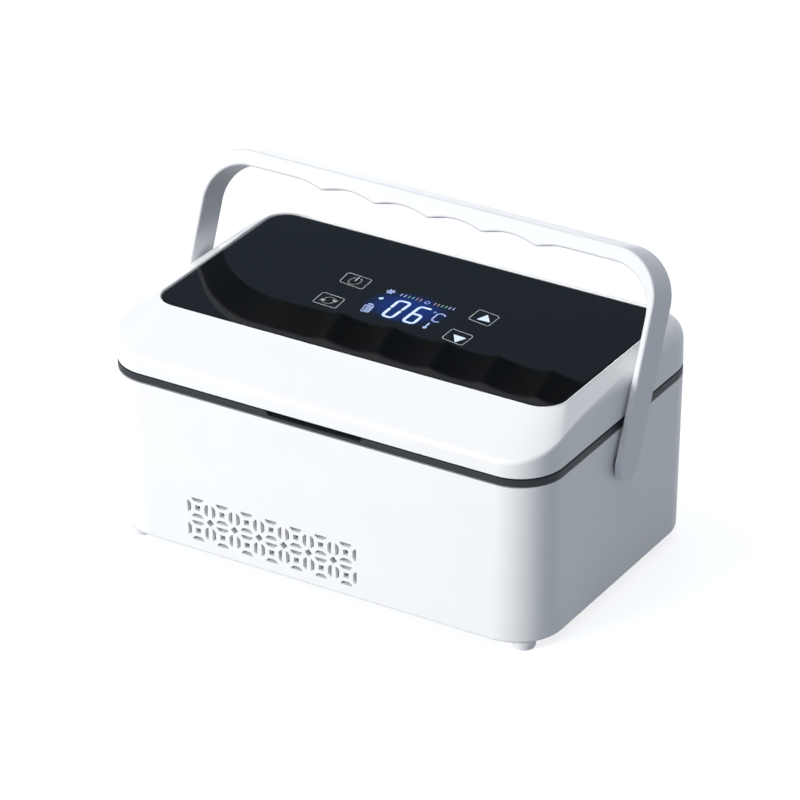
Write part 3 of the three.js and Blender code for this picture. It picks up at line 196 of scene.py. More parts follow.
def worked_metal(name, color, roughness, streak_mm, stretch, streak_depth):
    """Bare metal with fine streaks along one axis, left by drawing, extruding or brushing."""
    material, tree = start_finish(name)
    place = add_node(tree, "TexCoord").outputs["Object"]
    stretched = add_node(tree, "Mapping", {"Vector": place, "Scale": stretch})
    streaks = add_node(tree, "TexNoise", {
        "Vector": stretched.outputs["Vector"], "Scale": 1 / (streak_mm * MM), "Detail": 3.0})
    bump = add_node(tree, "Bump", {
        "Strength": 1.0, "Distance": streak_depth * MM, "Height": streaks.outputs["Fac"]})
    gloss = add_node(tree, "MapRange", {
        "Value": streaks.outputs["Fac"], "From Min": 0.3, "From Max": 0.7,
        "To Min": roughness * 0.8, "To Max": roughness * 1.2})
    surface = add_node(tree, "BsdfPrincipled", {
        "Base Color": linear(color), "Metallic": 1.0, "Roughness": gloss.outputs["Result"],
        "Normal": bump.outputs["Normal"]})
    add_node(tree, "OutputMaterial", {"Surface": surface.outputs["BSDF"]})
    return material


# Deep drawn aluminium: streaks run up the walls, where the punch pulled the sheet
FINISH["drawn_aluminium"] = worked_metal("aluminium_deep_drawn", "#c9ccd0", 0.36, 0.5, (1, 1, 0.04), 0.0008)
# Extruded aluminium: die lines along the fins
FINISH["extruded_aluminium"] = worked_metal("aluminium_extruded", "#b3b8bd", 0.4, 0.6, (1, 0.05, 1), 0.01)
# Zinc plated steel: bright, slightly blue, finely grained
FINISH["steel"] = worked_metal("steel_zinc_plated", "#bfc4cb", 0.3, 0.4, (1, 1, 1), 0.004)
# Nickel plating: bright and a little warm
FINISH["magnet_nickel"] = worked_metal("magnet_nickel_plated", "#cdccc8", 0.18, 0.5, (1, 1, 1), 0.002)
print("metals added:", len(bpy.data.materials))

# %% [markdown]
# ## Glass, board and display
# The top is float glass printed black on its underside. It could be clear glass over a black sheet, but
# one dark glossy surface gives the same picture with less light lost. Its specular level is below that
# of bare glass, because the photographed glass mirrors the room only faintly. Even such faces carry a
# thin haze of handling, so noise moves their gloss. The display gives off its own light.

# %% Glass, ink, board and display finishes
HAZE_MM = 20


def hazy_gloss(tree, roughness, haze):
    """Roughness that wanders with a thin, cloudy haze."""
    place = add_node(tree, "TexCoord").outputs["Object"]
    clouds = add_node(tree, "TexNoise", {
        "Vector": place, "Scale": 1 / (HAZE_MM * MM), "Detail": 4.0, "Roughness": 0.6})
    return add_node(tree, "MapRange", {
        "Value": clouds.outputs["Fac"], "From Min": 0.35, "From Max": 0.75,
        "To Min": roughness, "To Max": roughness + haze}).outputs["Result"]


def smooth_finish(name, color, roughness, specular=0.5, ior=1.5, glow=0.0, glow_color="#000000",
                  haze=0.05):
    """An even surface with no grain of its own, such as polished glass, ink or a lit mark."""
    material, tree = start_finish(name)
    surface = add_node(tree, "BsdfPrincipled", {
        "Base Color": linear(color), "Roughness": hazy_gloss(tree, roughness, haze), "IOR": ior,
        "Specular IOR Level": specular, "Emission Color": linear(glow_color), "Emission Strength": glow})
    add_node(tree, "OutputMaterial", {"Surface": surface.outputs["BSDF"]})
    return material


# Float glass printed black underneath: deep, wet looking, with a clear mirror image
GLASS = {"color": "#030507", "roughness": 0.03, "specular": 0.09, "ior": 1.52, "haze": 0.02}
FINISH["black_glass"] = smooth_finish("float_glass_back_printed", **GLASS)
# Screen printed ink under the glass: a soft cool white without a highlight of its own, brightened by a faint
# painted glow, since ink gives no light
white_ink_painted_glow = smooth_finish("white_ink_screen_printed_painted_glow", "#a8acb0", 0.35, glow=0.05, glow_color="#ffffff")
# Liquid crystal display, lit marks: bluish white light
lit_white = smooth_finish("display_segments_lit", "#b4c0d6", 0.4, glow=0.48, glow_color="#d8e8ff")
lit_blue = smooth_finish("display_signs_blue", "#8794be", 0.4, glow=0.45, glow_color="#a4bbf4")
lit_green = smooth_finish("display_marks_green", "#5f9a78", 0.4, glow=0.3, glow_color="#6fb68c")
lit_orange = smooth_finish("display_marks_orange", "#a87a72", 0.4, glow=0.3, glow_color="#b88a84")
lit_cyan = smooth_finish("display_marks_cyan", "#9cc6dc", 0.4, glow=0.5, glow_color="#a4d4ea")
# Back light of the display seen through the printed glass: deep blue that fades at its edges
BACK_LIGHT_MIDDLE = Vector((-0.8, 8.2))
BACK_LIGHT_REACH = Vector((23.5, 16.5))


def back_light_finish():
    """A blue glow, strongest in the middle of the display, that dies away into the black glass."""
    material = smooth_finish("display_back_light", glow=1.0, **GLASS)
    tree = material.node_tree
    place = add_node(tree, "TexCoord").outputs["Object"]
    middle = [-v / r for v, r in zip(BACK_LIGHT_MIDDLE, BACK_LIGHT_REACH)]
    scale = [1 / (r * MM) for r in BACK_LIGHT_REACH]
    centred = add_node(tree, "Mapping", {
        "Vector": place, "Location": (*middle, 0), "Scale": (*scale, 0)})
    distance = add_node(tree, "VectorMath", {"Vector": centred.outputs["Vector"]},
                        operation="LENGTH")
    fade = add_node(tree, "MapRange", {
        "Value": distance.outputs["Value"], "From Min": 0.4, "From Max": 1.06,
        "To Min": 1.0, "To Max": 0.0}, interpolation_type="SMOOTHSTEP")
    glow = add_node(tree, "Mix", {
        "Factor": fade.outputs["Result"], 6: linear("#000000"), 7: linear("#00266e")}, data_type="RGBA")
    surface = next(node for node in tree.nodes if node.type == "BSDF_PRINCIPLED")
    tree.links.new(glow.outputs[2], surface.inputs["Emission Color"])
    return material


back_light = back_light_finish()
# Glass fibre board under green solder resist: glossy with a faint weave
FINISH["board_green"] = moulded_finish("glass_fibre_board_resist", "#1f5a3a", 0.3, 0.5, 0.03)
# Face of the display module: dark, polished film
FINISH["display_face"] = smooth_finish("display_film_polished", "#0d1b33", 0.15)
print("all finishes:", len(bpy.data.materials))

# %% [markdown]
# ## Dress the solids that keep their shape
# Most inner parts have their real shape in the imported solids, so they only get a finish. Painting each
# one by hand would leave gaps, so every node takes the finish of its slot.

# %% Give each solid its finish
slot_of_node = {row["node"]: row["material_slot"] for row in frame["record"]["subparts"]}
for name, solid in nodes.items():
    finish = FINISH[slot_of_node[name]]
    if not solid.material_slots:
        solid.data.materials.append(finish)
    for material_slot in solid.material_slots:
        material_slot.material = finish
print("dressed:", len(nodes))

# %% [markdown]
# ## Helpers for shapes
# The case is made of rounded rectangles at several heights, joined by walls. A rounded rectangle starts
# as one square face whose corners are bevelled, and faces at several heights are bridged loop by loop.
# A lathe or a subdivision surface couldn't keep the flat walls and the exact corner radii.

# %% Rounded faces and walls between them
CORNER_STEPS, MERGE_BELOW = 14, 0.0005


def round_off(bm, parts, radius, steps, affect="VERTICES"):
    """Turn corners of a flat face into arcs, or edges of a solid into rounds."""
    bmesh.ops.bevel(bm, geom=parts, offset=radius, offset_type="OFFSET", segments=steps, profile=0.5,
                    affect=affect, material=-1)


def new_face(bm, known):
    """The face that isn't among the known ones."""
    return next(face for face in bm.faces if face not in known)


def corner_face(bm, corners, radius=0.0, steps=3):
    """One flat face from its corner points, which are rounded."""
    known = set(bm.faces)
    verts = [bm.verts.new(corner) for corner in corners]
    bm.faces.new(verts)
    if radius:
        round_off(bm, verts, radius, steps)
    return new_face(bm, known)


def rounded_face(bm, half_x, half_y, corner, z, middle_y=0.0, middle_x=0.0, steps=CORNER_STEPS):
    """One flat face with round corners, looking up."""
    known = set(bm.faces)
    square = bmesh.ops.create_grid(bm, x_segments=1, y_segments=1, size=1.0)["verts"]
    bmesh.ops.scale(bm, vec=(half_x, half_y, 1), verts=square)
    bmesh.ops.translate(bm, vec=(middle_x, middle_y, z), verts=square)
    round_off(bm, square, corner, steps)
    return new_face(bm, known)


def grown_faces(bm, half_x, half_y, corner, rows):
    """Rounded faces that grow or shrink from one outline, from (growth, height) pairs."""
    return [rounded_face(bm, half_x + grow, half_y + grow, corner + grow, z) for grow, z in rows]


def quarter_round(radius, steps):
    """How far the points of a quarter circle lie from the two sides that it joins."""
    angles = [math.pi / 2 * step / steps for step in range(steps + 1)]
    return [(radius * (1 - math.cos(a)), radius * (1 - math.sin(a))) for a in angles]


def outwards(bm):
    """Turn all faces outwards."""
    bmesh.ops.recalc_face_normals(bm, faces=bm.faces)
    return bm


def tidy_skin(bm):
    """Merge what lies together and turn all faces outwards."""
    bmesh.ops.remove_doubles(bm, verts=bm.verts, dist=MERGE_BELOW)
    return outwards(bm)


def walls_between(bm, faces, closed=False):
    """Bridge each face's rim to the next, and keep only the two end faces, or none on a closed tube."""
    pairs = list(zip(faces, faces[1:]))
    if closed:
        pairs.append((faces[-1], faces[0]))
    for low, high in pairs:
        bmesh.ops.bridge_loops(bm, edges=list(low.edges) + list(high.edges))
    bmesh.ops.delete(bm, geom=faces if closed else faces[1:-1], context="FACES_ONLY")
    return tidy_skin(bm)


def mesh_from(bm, name):
    """An object from a mesh in work."""
    mesh = bpy.data.meshes.new(name)
    bm.to_mesh(mesh)
    bm.free()
    return add_object(name, mesh)


def place_piece(name, bm, body, slot, replaced=(), material=None, smooth_below=32.0):
    """Turn a shape drawn in millimetres into a finished piece that rides on one body."""
    bmesh.ops.scale(bm, vec=(MM, MM, MM), verts=bm.verts)
    piece = mesh_from(bm, name)
    mesh = piece.data
    mesh.materials.append(material or FINISH[slot])
    mesh.shade_smooth()
    mesh.set_sharp_from_angle(angle=math.radians(smooth_below))
    flat_faces = piece.modifiers.new("flat_faces", "WEIGHTED_NORMAL")
    flat_faces.weight = 90
    flat_faces.keep_sharp = True
    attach(piece, body)
    if replaced:
        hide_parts(*replaced)
    low, high = (Vector([f(v.co[k] for v in mesh.vertices) for k in range(3)]) for f in (min, max))
    print(name, "faces", len(mesh.polygons), "size", [round(v / MM, 1) for v in high - low])


# %% [markdown]
# ## Cutting one shape from another
# Vents, wells and pockets are cut like a mill would cut them: a solid for each tool path, taken away
# from the moulding. Knife cuts would leave hundreds of edges to join by hand, so Blender's exact boolean
# does it on copies, and the result comes back as a plain mesh.

# %% Boolean helper, bars and boxes
CORNERS = [("front_left", -1, -1), ("front_right", 1, -1), ("rear_left", -1, 1), ("rear_right", 1, 1)]


def carve(bm, tools, operation="DIFFERENCE"):
    """Cut or join closed shapes, and hand back the result as one mesh in work."""
    target = mesh_from(bm, "target")
    made = [target]
    for tool in tools:
        cutter = mesh_from(tool, "cutter")
        made.append(cutter)
        modifier = target.modifiers.new("cut", "BOOLEAN")
        modifier.object = cutter
        modifier.operation = operation
        modifier.solver = "EXACT"
    graph = bpy.context.evaluated_depsgraph_get()
    result = bmesh.new()
    result.from_mesh(target.evaluated_get(graph).to_mesh())
    for thing in made:
        mesh = thing.data
        bpy.data.objects.remove(thing)
        bpy.data.meshes.remove(mesh)
    bmesh.ops.dissolve_degenerate(result, dist=MERGE_BELOW, edges=result.edges)
    return result


def rod(start, end, radius, far_radius=None, sides=32):
    """A round bar or cone between two points."""
    bm = bmesh.new()
    start, end = Vector(start), Vector(end)
    made = bmesh.ops.create_cone(bm, cap_ends=True, segments=sides, radius1=radius,
                                 radius2=radius if far_radius is None else far_radius,
                                 depth=(end - start).length)["verts"]
    turn = Vector((0, 0, 1)).rotation_difference(end - start).to_matrix()
    bmesh.ops.rotate(bm, cent=(0, 0, 0), matrix=turn, verts=made)
    bmesh.ops.translate(bm, vec=(start + end) / 2, verts=made)
    return bm


def corner_rods(x, y, low, high, radius, middle_x=0.0, middle_y=0.0):
    """Four upright bars, placed alike at the four corners round a middle."""
    places = [(middle_x + side * x, middle_y + end * y) for name, side, end in CORNERS]
    return [rod((*place, low), (*place, high), radius) for place in places]


def brick(low, high):
    """A box between two corners."""
    bm = bmesh.new()
    low, high = Vector(low), Vector(high)
    made = bmesh.ops.create_cube(bm, size=1.0)["verts"]
    bmesh.ops.scale(bm, vec=high - low, verts=made)
    bmesh.ops.translate(bm, vec=(low + high) / 2, verts=made)
    return bm


# %% [markdown]
# ## The case shell
# The real base is one moulding: a tub with walls 2.6 mm thick that narrow a little towards the floor,
# and a deck across its top with an opening for the cold chamber. It could be a block that is hollowed
# out, but rings joined in a closed loop give the outside, the deck and the inside in one go.

# %% Rings of the case shell
BASE_BOTTOM, SEAM, SPLIT, TOP = 4.6, 91.05, 95.9, 119.4
HALF_X, HALF_Y, CORNER = 125, 79, 23.3
TAPER_X, TAPER_Y, TAPER_CORNER = 1.65, 0.6, 1.7
WALL, DECK = 2.6, 2.4


def case_face(bm, z, inset):
    """The outline of the case at one height, moved inwards."""
    share = (z - BASE_BOTTOM) / (SEAM - BASE_BOTTOM)
    narrower = 1 - share
    return rounded_face(bm, HALF_X - TAPER_X * narrower - inset, HALF_Y - TAPER_Y * narrower - inset,
                        CORNER + TAPER_CORNER * narrower - inset, z)


def case_shell():
    bm = bmesh.new()
    rings = [case_face(bm, BASE_BOTTOM + rise, inset) for rise, inset in quarter_round(1.8, 5)]
    rings += [case_face(bm, SEAM - drop, inset) for inset, drop in quarter_round(0.4, 3)]
    rings += grown_faces(bm, 101, 55, 18, [(0.3, SEAM), (0, SEAM - 0.3), (0, SEAM - DECK)])
    rings += [case_face(bm, z, WALL) for z in (SEAM - DECK, BASE_BOTTOM)]
    return walls_between(bm, rings, closed=True)


# %% [markdown]
# ## Vents, back slots and holes
# The lattice in the front is a common pierced pattern: four slots round a small square eye, in two rows
# of seven, with a diamond between each four. An image could fake it, but real holes show the wall's
# thickness. Each is one flat outline pushed through the wall, and its outer end opens out a little,
# which gives the rim the small radius that a moulding tool leaves.

# %% Cutters for the openings
VENT_X, VENT_Z = -26.5, 22.9
FLARED_SHARE = 0.13
COLUMN_PITCH, ROW_PITCH = 14.35, 12.9
SLOT_LENGTH, SLOT_BREADTH, EYE, DIAMOND = 6.8, 2.3, 1.4, 2.1
BACK_SLOT_PITCH, BACK_SLOT_X, BACK_SLOT_Z = 6.4, 1.3, 8.5


def rectangle(x, z, half_x, half_z):
    """Four (x, z) points round a middle."""
    return [(x - half_x, z - half_z), (x + half_x, z - half_z), (x + half_x, z + half_z),
            (x - half_x, z + half_z)]


def push(bm, face, move, grow=(1, 1, 1)):
    """Extrude one face, and grow or shrink its far end about its middle."""
    walled = any(len(edge.link_faces) > 1 for edge in face.edges)
    made = bmesh.ops.extrude_face_region(bm, geom=[face])["geom"]
    far = next(g for g in made if isinstance(g, bmesh.types.BMFace))
    if walled:
        bmesh.ops.delete(bm, geom=[face], context="FACES_ONLY")
    bmesh.ops.translate(bm, vec=move, verts=far.verts)
    middle = Matrix.Translation(far.calc_center_median())
    spread = middle @ Matrix.Diagonal((*grow, 1)) @ middle.inverted()
    bmesh.ops.transform(bm, matrix=spread, verts=far.verts)
    return far


def slot_cutter(bm, outline, corner, from_y, to_y, flare):
    """Push an outline of (x, z) points through a wall, and open its outer end."""
    face = corner_face(bm, [(x, from_y, z) for x, z in outline], corner)
    face = push(bm, face, (0, (to_y - from_y) * (1 - FLARED_SHARE), 0))
    push(bm, face, (0, (to_y - from_y) * FLARED_SHARE, 0), (flare, 1, flare))


def lattice_outlines():
    """Outlines of the vent lattice: turned slots, eyes and diamonds."""
    along = [-0.5, 0.5, 0.46, 0.26, -0.26, -0.46]
    outward = [0.36, 0.36, 0, -0.5, -0.5, 0]
    outlines = []
    for column in range(7):
        for row in range(2):
            x = VENT_X + (column - 3) * COLUMN_PITCH
            z = VENT_Z + (row - 0.5) * ROW_PITCH
            for quarter in range(4):
                turn = Matrix.Rotation(math.pi / 2 * quarter, 2)
                offset = 4.55 if quarter % 2 == 0 else 5.15
                points = [turn @ Vector((a * SLOT_LENGTH, offset + o * SLOT_BREADTH))
                          for a, o in zip(along, outward)]
                outlines.append([(x + p.x, z + p.y) for p in points])
            outlines.append(rectangle(x, z, EYE, EYE))
            if column < 6 and row == 0:
                x, z = x + COLUMN_PITCH / 2, z + ROW_PITCH / 2
                outlines.append([(x + DIAMOND, z), (x, z + DIAMOND), (x - DIAMOND, z), (x, z - DIAMOND)])
    return outlines


def wall_cutters():
    bm = bmesh.new()
    for outline in lattice_outlines():
        slot_cutter(bm, outline, 0.4, -72.0, -78.95, 1.08)
    for slot in range(11):
        outline = rectangle(VENT_X + (slot - 5) * BACK_SLOT_PITCH, VENT_Z, BACK_SLOT_X, BACK_SLOT_Z)
        slot_cutter(bm, outline, BACK_SLOT_X - 0.01, 72.0, 78.95, 1.3)
    return outwards(bm)


# %% [markdown]
# ## Bosses and bores
# Inside the real shell stand posts for the foot screws, thick bosses for the handle's pivots and a
# sleeve round the power socket. They are round bars joined to the wall, and the holes are bored last,
# as a drill would do it after moulding.

# %% Join the bosses, cut the holes, and place the shell
# The feet stand on an arc inside the rounded corners, 50 degrees from the long side
FOOT_ARC, FOOT_TURN = 18.3, math.radians(50)
FOOT_X = 98.35 + FOOT_ARC * math.cos(FOOT_TURN)
FOOT_Y = 53.4 + FOOT_ARC * math.sin(FOOT_TURN)
PEG_X, PEG_Y = 85, 67
PIVOT_Z = 73.7
SOCKET_X, SOCKET_Z = -93.0, 20.4
SCREW_HOLE = 1.7


def side_rods(from_x, to_x, radius, far_radius=None):
    """Two level bars on the axis of the handle's pivots, left and right."""
    return [rod((side * from_x, 0, PIVOT_Z), (side * to_x, 0, PIVOT_Z), radius, far_radius)
            for side in (-1, 1)]


def socket_rod(from_y, to_y, *radii):
    """A level bar on the axis of the power socket."""
    return rod((SOCKET_X, from_y, SOCKET_Z), (SOCKET_X, to_y, SOCKET_Z), *radii)


bosses = corner_rods(FOOT_X, FOOT_Y, 8, 24, 4.8) + side_rods(119.37, 123.2, 7.5, 8.2)
bosses.append(socket_rod(74.7, 77.2, 7.4))
bores = corner_rods(FOOT_X, FOOT_Y, 6, 15.2, SCREW_HOLE) + side_rods(117, 127, 4.15)
bores += corner_rods(PEG_X, PEG_Y, 86, 93, 2.5)
bores += [socket_rod(73, 78.2, 5.6, 5.6, 48), socket_rod(78.0, 79.2, 5.5, 6.5, 48)]
shell = carve(case_shell(), bosses, "UNION")
shell = carve(shell, [wall_cutters()] + bores)
place_piece("case_shell", shell, "base", "white_abs", ["base_shell"])

# %% [markdown]
# ## The bottom cover
# A flat plate closes the tub from below, with a grille for the fan, pins for the fan's frame and stakes
# for the control board. A plain block would show sharp edges, which a moulded plate never has, so its
# slots and its lower edge are rounded. The metal pin of the power socket is added here as well.

# %% Bottom cover with its grille, and the socket's pin
PLATE_TOP = 7.7
GRILLE_RADIUS, GRILLE_PITCH = 24, 6.6
BOARD_Y = 57


def grille_slots():
    """Long round slots that fill a circle under the fan."""
    bm = bmesh.new()
    for slot in range(7):
        aside = (slot - 3) * GRILLE_PITCH
        half_length = math.sqrt(GRILLE_RADIUS ** 2 - aside ** 2)
        face = rounded_face(bm, 1.6, half_length, 1.59, PLATE_TOP + 1, 0, VENT_X + aside, steps=8)
        face = push(bm, face, (0, 0, -3.2))
        push(bm, face, (0, 0, -0.4), (1.25, 1.01, 1))
    return outwards(bm)


bottom = bmesh.new()
lower_edge = [(3.4, 5.2), (3.05, 5.35), (2.9, 5.7), (2.9, PLATE_TOP)]
walls_between(bottom, [case_face(bottom, z, inset) for inset, z in lower_edge])
bottom = carve(bottom, [grille_slots()] + corner_rods(FOOT_X, FOOT_Y, 4, 9, SCREW_HOLE))
fan_pins = corner_rods(25, 25, 6.45, 13.7, 1.7, VENT_X)
stakes = corner_rods(15, BOARD_Y, 6.45, 12.7, 3, SOCKET_X)
stake_pins = corner_rods(15, BOARD_Y, 12, 15.4, 1.2, SOCKET_X)
bottom = carve(bottom, fan_pins + stakes + stake_pins, "UNION")
place_piece("bottom_plate", bottom, "base", "white_abs", ["bottom_cover"])

socket_pin = carve(socket_rod(65.8, 72.0, 1.1), [socket_rod(71.8, 72.6, 1.1, 0.7)], "UNION")
place_piece("socket_pin", socket_pin, "base", "steel")

# %% [markdown]
# ## The rim band
# Between base and lid lies a dark frame. It holds the cold chamber's lip, and it is the dark line in the
# white, with a finger notch in front to lift the lid. Its edges step back a little, which a plain box
# couldn't show, and draw a darker shadow line. It is one closed loop of rings, with the notch, the
# magnet pockets and the room for the hinges cut out of it.

# %% Rim band with its notch, pegs and hinge knuckles
HINGE_Y, HINGE_X = 75.6, 70.0
KNUCKLE_RADIUS, PIN_BORE = 3.1, 1.4
MAGNET_X, BAND_BOTTOM = 60, 91.35


def hinge_rods(from_x, to_x, radius):
    """Two level bars on the axis of the lid's hinges, one at each hinge."""
    return [rod((side * HINGE_X + from_x, HINGE_Y, SPLIT), (side * HINGE_X + to_x, HINGE_Y, SPLIT), radius)
            for side in (-1, 1)]


def side_bricks(middle_x, half_x, low, high):
    """Two boxes, left and right, from their middle, half breadth and lowest and highest (y, z)."""
    return [brick((side * middle_x - half_x, *low), (side * middle_x + half_x, *high)) for side in (-1, 1)]


def rim_ring():
    bm = bmesh.new()
    rings = grown_faces(bm, HALF_X, HALF_Y, CORNER, [
        (-0.9, BAND_BOTTOM), (-0.9, 91.7), (-0.15, 91.85), (0.0, 92.05), (0.0, 95.2), (-0.15, 95.4),
        (-0.9, 95.55), (-0.9, SPLIT)])
    rings += grown_faces(bm, 95.5, 49.5, 12.5, [(0.8, SPLIT), (0.25, 95.75), (0.0, 95.2), (0.0, 92.85)])
    rings += grown_faces(bm, 105.3, 59.3, 22.3, [(0.0, 92.85), (0.0, BAND_BOTTOM)])
    return walls_between(bm, rings, closed=True)


def finger_notch():
    bm = bmesh.new()
    outline = [(-26.3, 93.6), (26.3, 93.6), (27.6, 97.5), (-27.6, 97.5)]
    face = corner_face(bm, [(x, -71.5, z) for x, z in outline], 1.3, 6)
    face = push(bm, face, (0, -6.8, 0))
    push(bm, face, (0, -0.9, 0), (1.015, 1, 1.1))
    return outwards(bm)


rooms = [brick((-126, 75, 88), (126, 81, 98))] + side_bricks(HINGE_X, 17.6, (72.2, 92.5), (81, 98))
rooms += side_bricks(MAGNET_X, 5.3, (-68.3, 92.3), (-63.7, 98))
band = carve(rim_ring(), rooms + [finger_notch()])
pegs = corner_rods(PEG_X, PEG_Y, 88.65, 93.5, 2.2)
webs = side_bricks(HINGE_X, 7, (71.9, BAND_BOTTOM), (77.15, 95.5))
band = carve(band, pegs + webs, "UNION")
band = carve(band, hinge_rods(-7, 7, KNUCKLE_RADIUS), "UNION")
band = carve(band, hinge_rods(-19, 19, PIN_BORE))
place_piece("rim_band", band, "base", "dark_abs", ["rim_frame"])

# %% [markdown]
# ## The cold chamber
# The chamber is drawn from one aluminium sheet. Deep drawing can't make a sharp inner corner, so the
# floor runs into the walls in a wide round. It is a stack of rings again, up the inside, over the lip
# and down the outside, because a bevelled box wouldn't keep the sheet's thickness.

# %% Rings of the cold chamber
CHAMBER = (95, 49, 12)
CHAMBER_FLOOR, CHAMBER_DEPTH, FLOOR_ROUND, SHEET, DRAFT = 51.9, 44, 6.0, 1.2, 3


def chamber_wall(bm, sheet):
    """Rings of the round floor edge and the wall, moved outwards by the sheet's thickness."""
    rings = []
    half_x, half_y, corner = CHAMBER
    for rise, inset in quarter_round(FLOOR_ROUND + sheet, 7):
        above_floor = rise - sheet
        grow = sheet - DRAFT * (1 - above_floor / CHAMBER_DEPTH) - inset
        rings.append(rounded_face(bm, half_x + grow, half_y + grow, max(corner + grow, 3),
                                  CHAMBER_FLOOR + above_floor))
    return rings


def chamber():
    bm = bmesh.new()
    inside, outside = chamber_wall(bm, 0.0), chamber_wall(bm, SHEET)
    lip = grown_faces(bm, *CHAMBER, [
        (-0.3, 91.6), (-0.05, 92.2), (0.6, 92.55), (9.7, 92.55), (10, 92.3), (10, 91.35), (1.2, 91.35),
        (0.95, 91.0)])
    return walls_between(bm, inside + lip + outside[::-1])


place_piece("cold_chamber", chamber(), "base", "drawn_aluminium", ["chamber_liner"], smooth_below=40)

# %% [markdown]
# ## The lid
# The real lid is one moulding with an upright rim, a long ramp at the front, and a flat frame for the
# glass. A sculpted surface would drift from the solid, so it is a closed loop of rings: rim, crease,
# lip, recess, window, ceiling and back down inside. The crease rises from front to back along a curve,
# so a small formula moves that ring's points up.

# %% Rings of the lid
GLASS_HALF = Vector((114.1, 57.65))
GLASS_Y, GLASS_CORNER = 10.6, 12.3
LID_BOTTOM, RECESS, CEILING = 96.2, 117.1, 114.8
WINDOW = (54, 28, 6.15)
WINDOW_Y = 8.6
CREASE_FRONT, CREASE_RISE, CREASE_RUN, CREASE_POWER = 8.7, 10.8, 70, 2.7


def crease_height(y):
    """Height of the crease at one depth: low in front, quickly rising, level at the back."""
    share = min(max((y + HALF_Y) / CREASE_RUN, 0), 1)
    return SPLIT + CREASE_FRONT + CREASE_RISE * (1 - (1 - share) ** CREASE_POWER)


def lid_face(bm, half_x, half_y, corner, z, middle_y=0.0):
    """A rounded outline whose two sides carry extra points, so that they can bend."""
    known = set(bm.faces)
    face = rounded_face(bm, half_x, half_y, corner, z, middle_y)
    sides = [e for e in face.edges if e.calc_length() > 20 and abs(e.verts[0].co.x - e.verts[1].co.x) < 1]
    for side in sides:
        bmesh.ops.subdivide_edges(bm, edges=[side], cuts=23)
    return new_face(bm, known)


def rim_face(bm, inset, z):
    return lid_face(bm, HALF_X - inset, HALF_Y - inset, CORNER - inset, z)


def glass_face(bm, grow, z):
    return lid_face(bm, GLASS_HALF.x + grow, GLASS_HALF.y + grow, GLASS_CORNER + grow, z, GLASS_Y)


def crease_face(bm, inset, drop):
    face = rim_face(bm, inset, 0)
    for vert in face.verts:
        vert.co.z = crease_height(vert.co.y * HALF_Y / (HALF_Y - inset)) - drop
    return face


def crease_softness(y):
    """How far the crease's round reaches on each side: crisp in front, full at the back."""
    share = min(max((y + 60) / 120, 0), 1)
    return 2.4 + 4.2 * share * share * (3 - 2 * share)


def round_crease(bm, steps=7):
    """Faces between rim and ramp whose points follow a soft arc round the crease."""
    crease, ramp_end = crease_face(bm, 0, 0), glass_face(bm, 1.6, TOP + 0.05)
    arcs = []
    for step in range(steps + 1):
        share = step / steps
        arc = crease_face(bm, 0, 0)
        for vert, corner, high in zip(arc.verts, crease.verts, ramp_end.verts):
            reach = crease_softness(corner.co.y)
            below = corner.co - Vector((0, 0, reach))
            above = corner.co + (high.co - corner.co).normalized() * reach
            vert.co = (1 - share) ** 2 * below + 2 * share * (1 - share) * corner.co + share ** 2 * above
        arcs.append(arc)
    bmesh.ops.delete(bm, geom=list(crease.verts), context="VERTS")
    return arcs + [ramp_end]


def lid_shell():
    bm = bmesh.new()
    edge = [(0.35, 0.0), (0.1, 0.1), (0.0, 0.35)]
    rings = [rim_face(bm, inset, LID_BOTTOM + rise) for inset, rise in edge]
    rings += round_crease(bm)
    bead = [(1.5, 0.2), (1.3, 0.38), (1.05, 0.45), (0.8, 0.38), (0.45, 0.05), (0.3, -0.3)]
    rings += [glass_face(bm, grow, TOP + rise) for grow, rise in bead]
    rings += [glass_face(bm, 0.3, RECESS), lid_face(bm, *WINDOW, RECESS, WINDOW_Y),
              lid_face(bm, *WINDOW, CEILING, WINDOW_Y), glass_face(bm, -1.2, CEILING),
              crease_face(bm, WALL, 3.2), rim_face(bm, WALL, LID_BOTTOM)]
    return walls_between(bm, rings, closed=True)


# %% Hinge knuckles and windows, and place the lid
LID_SCREW_X, LID_SCREW_Y = 96, 64
knuckles = hinge_rods(-7.3, -17.3, KNUCKLE_RADIUS) + hinge_rods(7.3, 17.3, KNUCKLE_RADIUS)
posts = corner_rods(58, 32, 113.2, 116, 3, middle_y=WINDOW_Y)
# The lid is lower in front, and so are its front posts
posts += [rod((x * LID_SCREW_X, y * LID_SCREW_Y, 100.4), (x * LID_SCREW_X, y * LID_SCREW_Y, high), 3.6)
          for x in (-1, 1) for y, high in ((-1, 105.2), (1, 115))]
lid = carve(lid_shell(), side_bricks(HINGE_X, 7.3, (72.2, 94), (81, 99.3)))
lid = carve(lid, knuckles + posts, "UNION")
lid = carve(lid, hinge_rods(-19, 19, PIN_BORE))
place_piece("lid_moulding", lid, "lid", "white_abs", ["lid_shell"])

# %% [markdown]
# ## The lid's inner cover and gasket
# Under the lid sits a grey cover whose plug enters the chamber's mouth, with a soft gasket round it that
# seals on the rim. Rings again fit better than a box: they run from the plug's round lower edge out to
# the cover's rim and back down into the hollow for the foam.

# %% Inner cover


